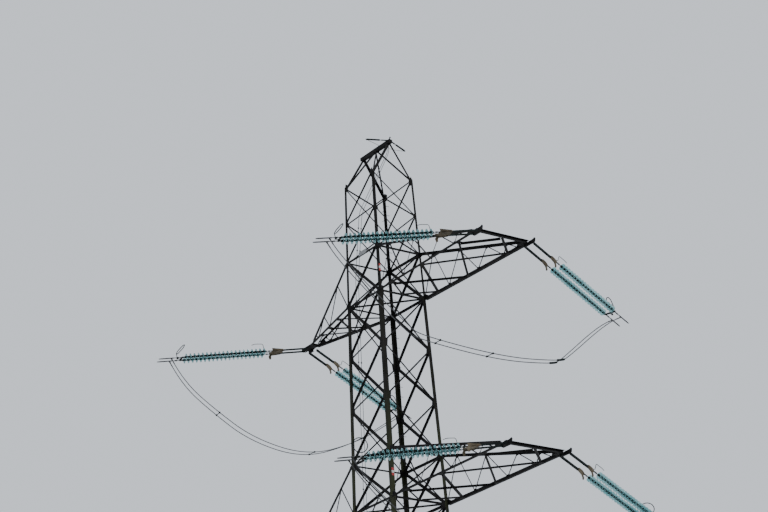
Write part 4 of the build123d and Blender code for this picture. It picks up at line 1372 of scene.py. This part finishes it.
def down_leads():
    """Two leads from the ridge to the left side, clipped to its bracing and to a leg."""
    mesh = Mesh()
    upper, lower = body_face("left", UPPER), body_face("left", LOWER)
    for shift in (0.0, LEAD_SPACING):
        from_corner = LEAD_AT_LEG + LEAD_SPACING - shift
        top = Vector((HALF_TOP - 0.18, LEAD_SPACING / 4 - shift / 2, RIDGE - RIDGE_BEAM))
        stops = [(upper, 0.230 + shift, 37.32), (upper, 0.560 + shift, 34.40),
                 (lower, 0.780 + shift, WAIST + 0.04),
                 (lower, half_width(PORTAL_TOP) - from_corner, PORTAL_TOP),
                 (lower, half_width(MUFF_TOP) - from_corner, MUFF_TOP - 0.01)]
        clipped = [face.point(u, height, LEAD_DEPTH) for face, u, height in stops]
        mesh.rod([top, top - Z * LEAD_DROP] + clipped, LEAD_DIAMETER / 2, LEAD_BEND, 10)
        for start, end, face, clips in zip(clipped, clipped[1:], (upper, upper, lower, lower), LEAD_CLIPS):
            along = (end - start).normalized()
            for k in range(clips):
                centre = start + (end - start) * ((k + 0.7) / clips)
                mesh.block(centre, along * 0.05, along.cross(face.outward) * 0.05, face.outward * 0.026, 1)
    mesh.finish("leads", [WIRE, CLAMP], "grey_conductor", "down_leads")


# What is bolted to the legs: splices, step bolts on one leg, and plates that stand out at the cage's joints
SPLICES = {LOWER: (4.4, 10.5, 15.9), UPPER: (21.75, 30.0)}
STEP_BOLTS = (("back", 1, 3.0), ("left", -1, 3.2))
STEP_SPACING = 0.4
# Shank, head and nut of a step bolt: near and far end, radius, sides
STEP_PARTS = ((-0.03, 0.15, 0.008, 8), (0.15, 0.162, 0.014, 6), (0.0, 0.012, 0.015, 6))
OUTSTANDS = (("front", -1, (20.70, 22.81)), ("back", -1, (20.70, 22.81)),
             ("right", 1, (20.70,)), ("back", 1, (20.70,)))
OUTSTAND = ((-0.13, -0.13), (0.015, -0.10), (0.085, -0.01), (0.085, 0.04), (0.015, 0.12), (-0.13, 0.13))


def splice(mesh, face, zone, sign, height):
    width = leg_width(height)
    outline = [(sign * (edge_at(zone, height + rise) - inset), height + rise)
               for rise in (-0.26, 0.26) for inset in (0.004, width - 0.02)]
    face.plate(mesh, outline, -PLATE, 0.0)
    for rise in (-0.21, -0.13, -0.05, 0.05, 0.13, 0.21):
        for inset in (width * 0.32, width * 0.70):
            u = sign * (edge_at(zone, height + rise) - inset)
            mesh.bolt(face.point(u, height + rise, -PLATE), face.outward, LEG_THICKNESS + PLATE, 0.014)


def step_bolts(mesh, face, zone, sign, start):
    height = start if zone == LOWER else WAIST + start % STEP_SPACING + 0.2
    while height < zone[1] - 0.3:
        foot = face.point(sign * (edge_at(zone, height) - leg_width(height) * 0.42), height)
        for near, far, radius, sides in STEP_PARTS:
            mesh.round_bar(foot + face.outward * near, foot + face.outward * far, radius, sides)
        height += STEP_SPACING


def leg_fittings():
    mesh = Mesh()
    for sides in CORNERS.values():
        for side, sign in zip(sides, (1, -1)):
            for zone, heights in SPLICES.items():
                for height in heights:
                    splice(mesh, body_face(side, zone), zone, sign, height)
    for side, sign, start in STEP_BOLTS:
        for zone in (LOWER, UPPER):
            step_bolts(mesh, body_face(side, zone), zone, sign, start)
    for side, sign, heights in OUTSTANDS:
        for height in heights:
            edge = edge_at(UPPER, height)
            outline = [(sign * (edge + out), height + rise) for out, rise in OUTSTAND]
            body_face(side, UPPER).plate(mesh, outline, -PLATE, 0.0)
    mesh.finish("leg_fittings", [LEG_STEEL], "weathered_steel")


# Small plates: heights and widths of the striped ones by a leg
STRIPED = ((25.88, 0.11), (17.66, 0.11), (34.11, 0.08))


def marker(name, face, centre, width, height, colours, depth):
    """Small plate in level stripes, on two bolts."""
    mesh = Mesh()
    stripe = height / len(colours)
    for k in range(len(colours)):
        low = centre[1] - height / 2 + k * stripe
        outline = [face.point(centre[0] + a * width / 2, low + b * stripe, depth)
                   for a, b in ((-1, 0), (1, 0), (1, 1), (-1, 1))]
        mesh.prism(outline, face.outward * 0.004, k)
    for a in (-0.42, 0.42):
        mesh.bolt(face.point(centre[0], centre[1] + a * height, depth - 0.004), face.outward, 0.006, 0.007)
    mesh.finish(name, colours, "weathered_steel")


def markers():
    right, front = body_face("right", UPPER), body_face("front", UPPER)
    for k, (height, width) in enumerate(STRIPED):
        at = width * 0.68 - edge_at(UPPER, height)
        marker(f"marker_{k}", right, (at, height), width, 0.30, [RED, WHITE, RED], -0.006)
    marker("marker_grey", front, (0.05, ARM_LEVELS[-1] + ARM_DEPTH + 0.06), 0.50, 0.17, [GREY], 0.006)


def dress_nodes():
    """Materials and worn edges of the CAD pieces that stay."""
    for name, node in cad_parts.items():
        node.data.materials.clear()
        node.data.materials.append(CONCRETE if name == "footings" else LEG_STEEL)
        if name.startswith("leg") or name == "footings":
            bevel = node.modifiers.new("worn_edges", "BEVEL")
            bevel.width = 0.02 if name == "footings" else 0.003
            bevel.segments = 2
            bevel.limit_method = "ANGLE"


dress_nodes()
for arm_name, (arm_kind, arm_level, loop_lengths) in ARMS.items():
    jumpers(arm_name, arm_kind, arm_level, loop_lengths)
for side_name in SIDES:
    upper_side(side_name)
    lower_side(side_name)
for corner_name in CORNERS:
    portal(corner_name)
plan_bracing()
peak()
earthwire()
down_leads()
leg_fittings()
markers()
for arm_name, (arm_kind, arm_level, _) in ARMS.items():
    cross_arm(arm_name, arm_kind, arm_level)
    insulator_strings(arm_name, arm_kind, arm_level)
    fittings(arm_name, arm_kind, arm_level)

# Floor and light
FLOOR_SIZE = 600.0
floor_data = bpy.data.meshes.new("floor")
reach = FLOOR_SIZE / 2
corners = [(-reach, -reach, 0), (reach, -reach, 0), (reach, reach, 0), (-reach, reach, 0)]
floor_data.from_pydata(corners, [], [(0, 1, 2, 3)])
floor = placed("floor", floor_data)
floor_paint = Paint("floor_pale", 0.9)
floor_paint.colour(floor_paint.ramp(floor_paint.noise(0.2, 3), (0.3, 0.70), (0.7, 0.74)))
floor_data.materials.append(floor_paint.material)

world = bpy.data.worlds.new("world")
bpy.context.scene.world = world
world.use_nodes = True
sky = world.node_tree.nodes["Background"].inputs
sky["Color"].default_value = (0.80, 0.85, 0.92, 1)
sky["Strength"].default_value = 1.0
sun_data = bpy.data.lights.new("sun", "SUN")
sun_data.energy = 1.2
sun_data.angle = radians(25)
sun = placed("sun", sun_data)
sun.rotation_euler = (radians(42), 0, radians(115))
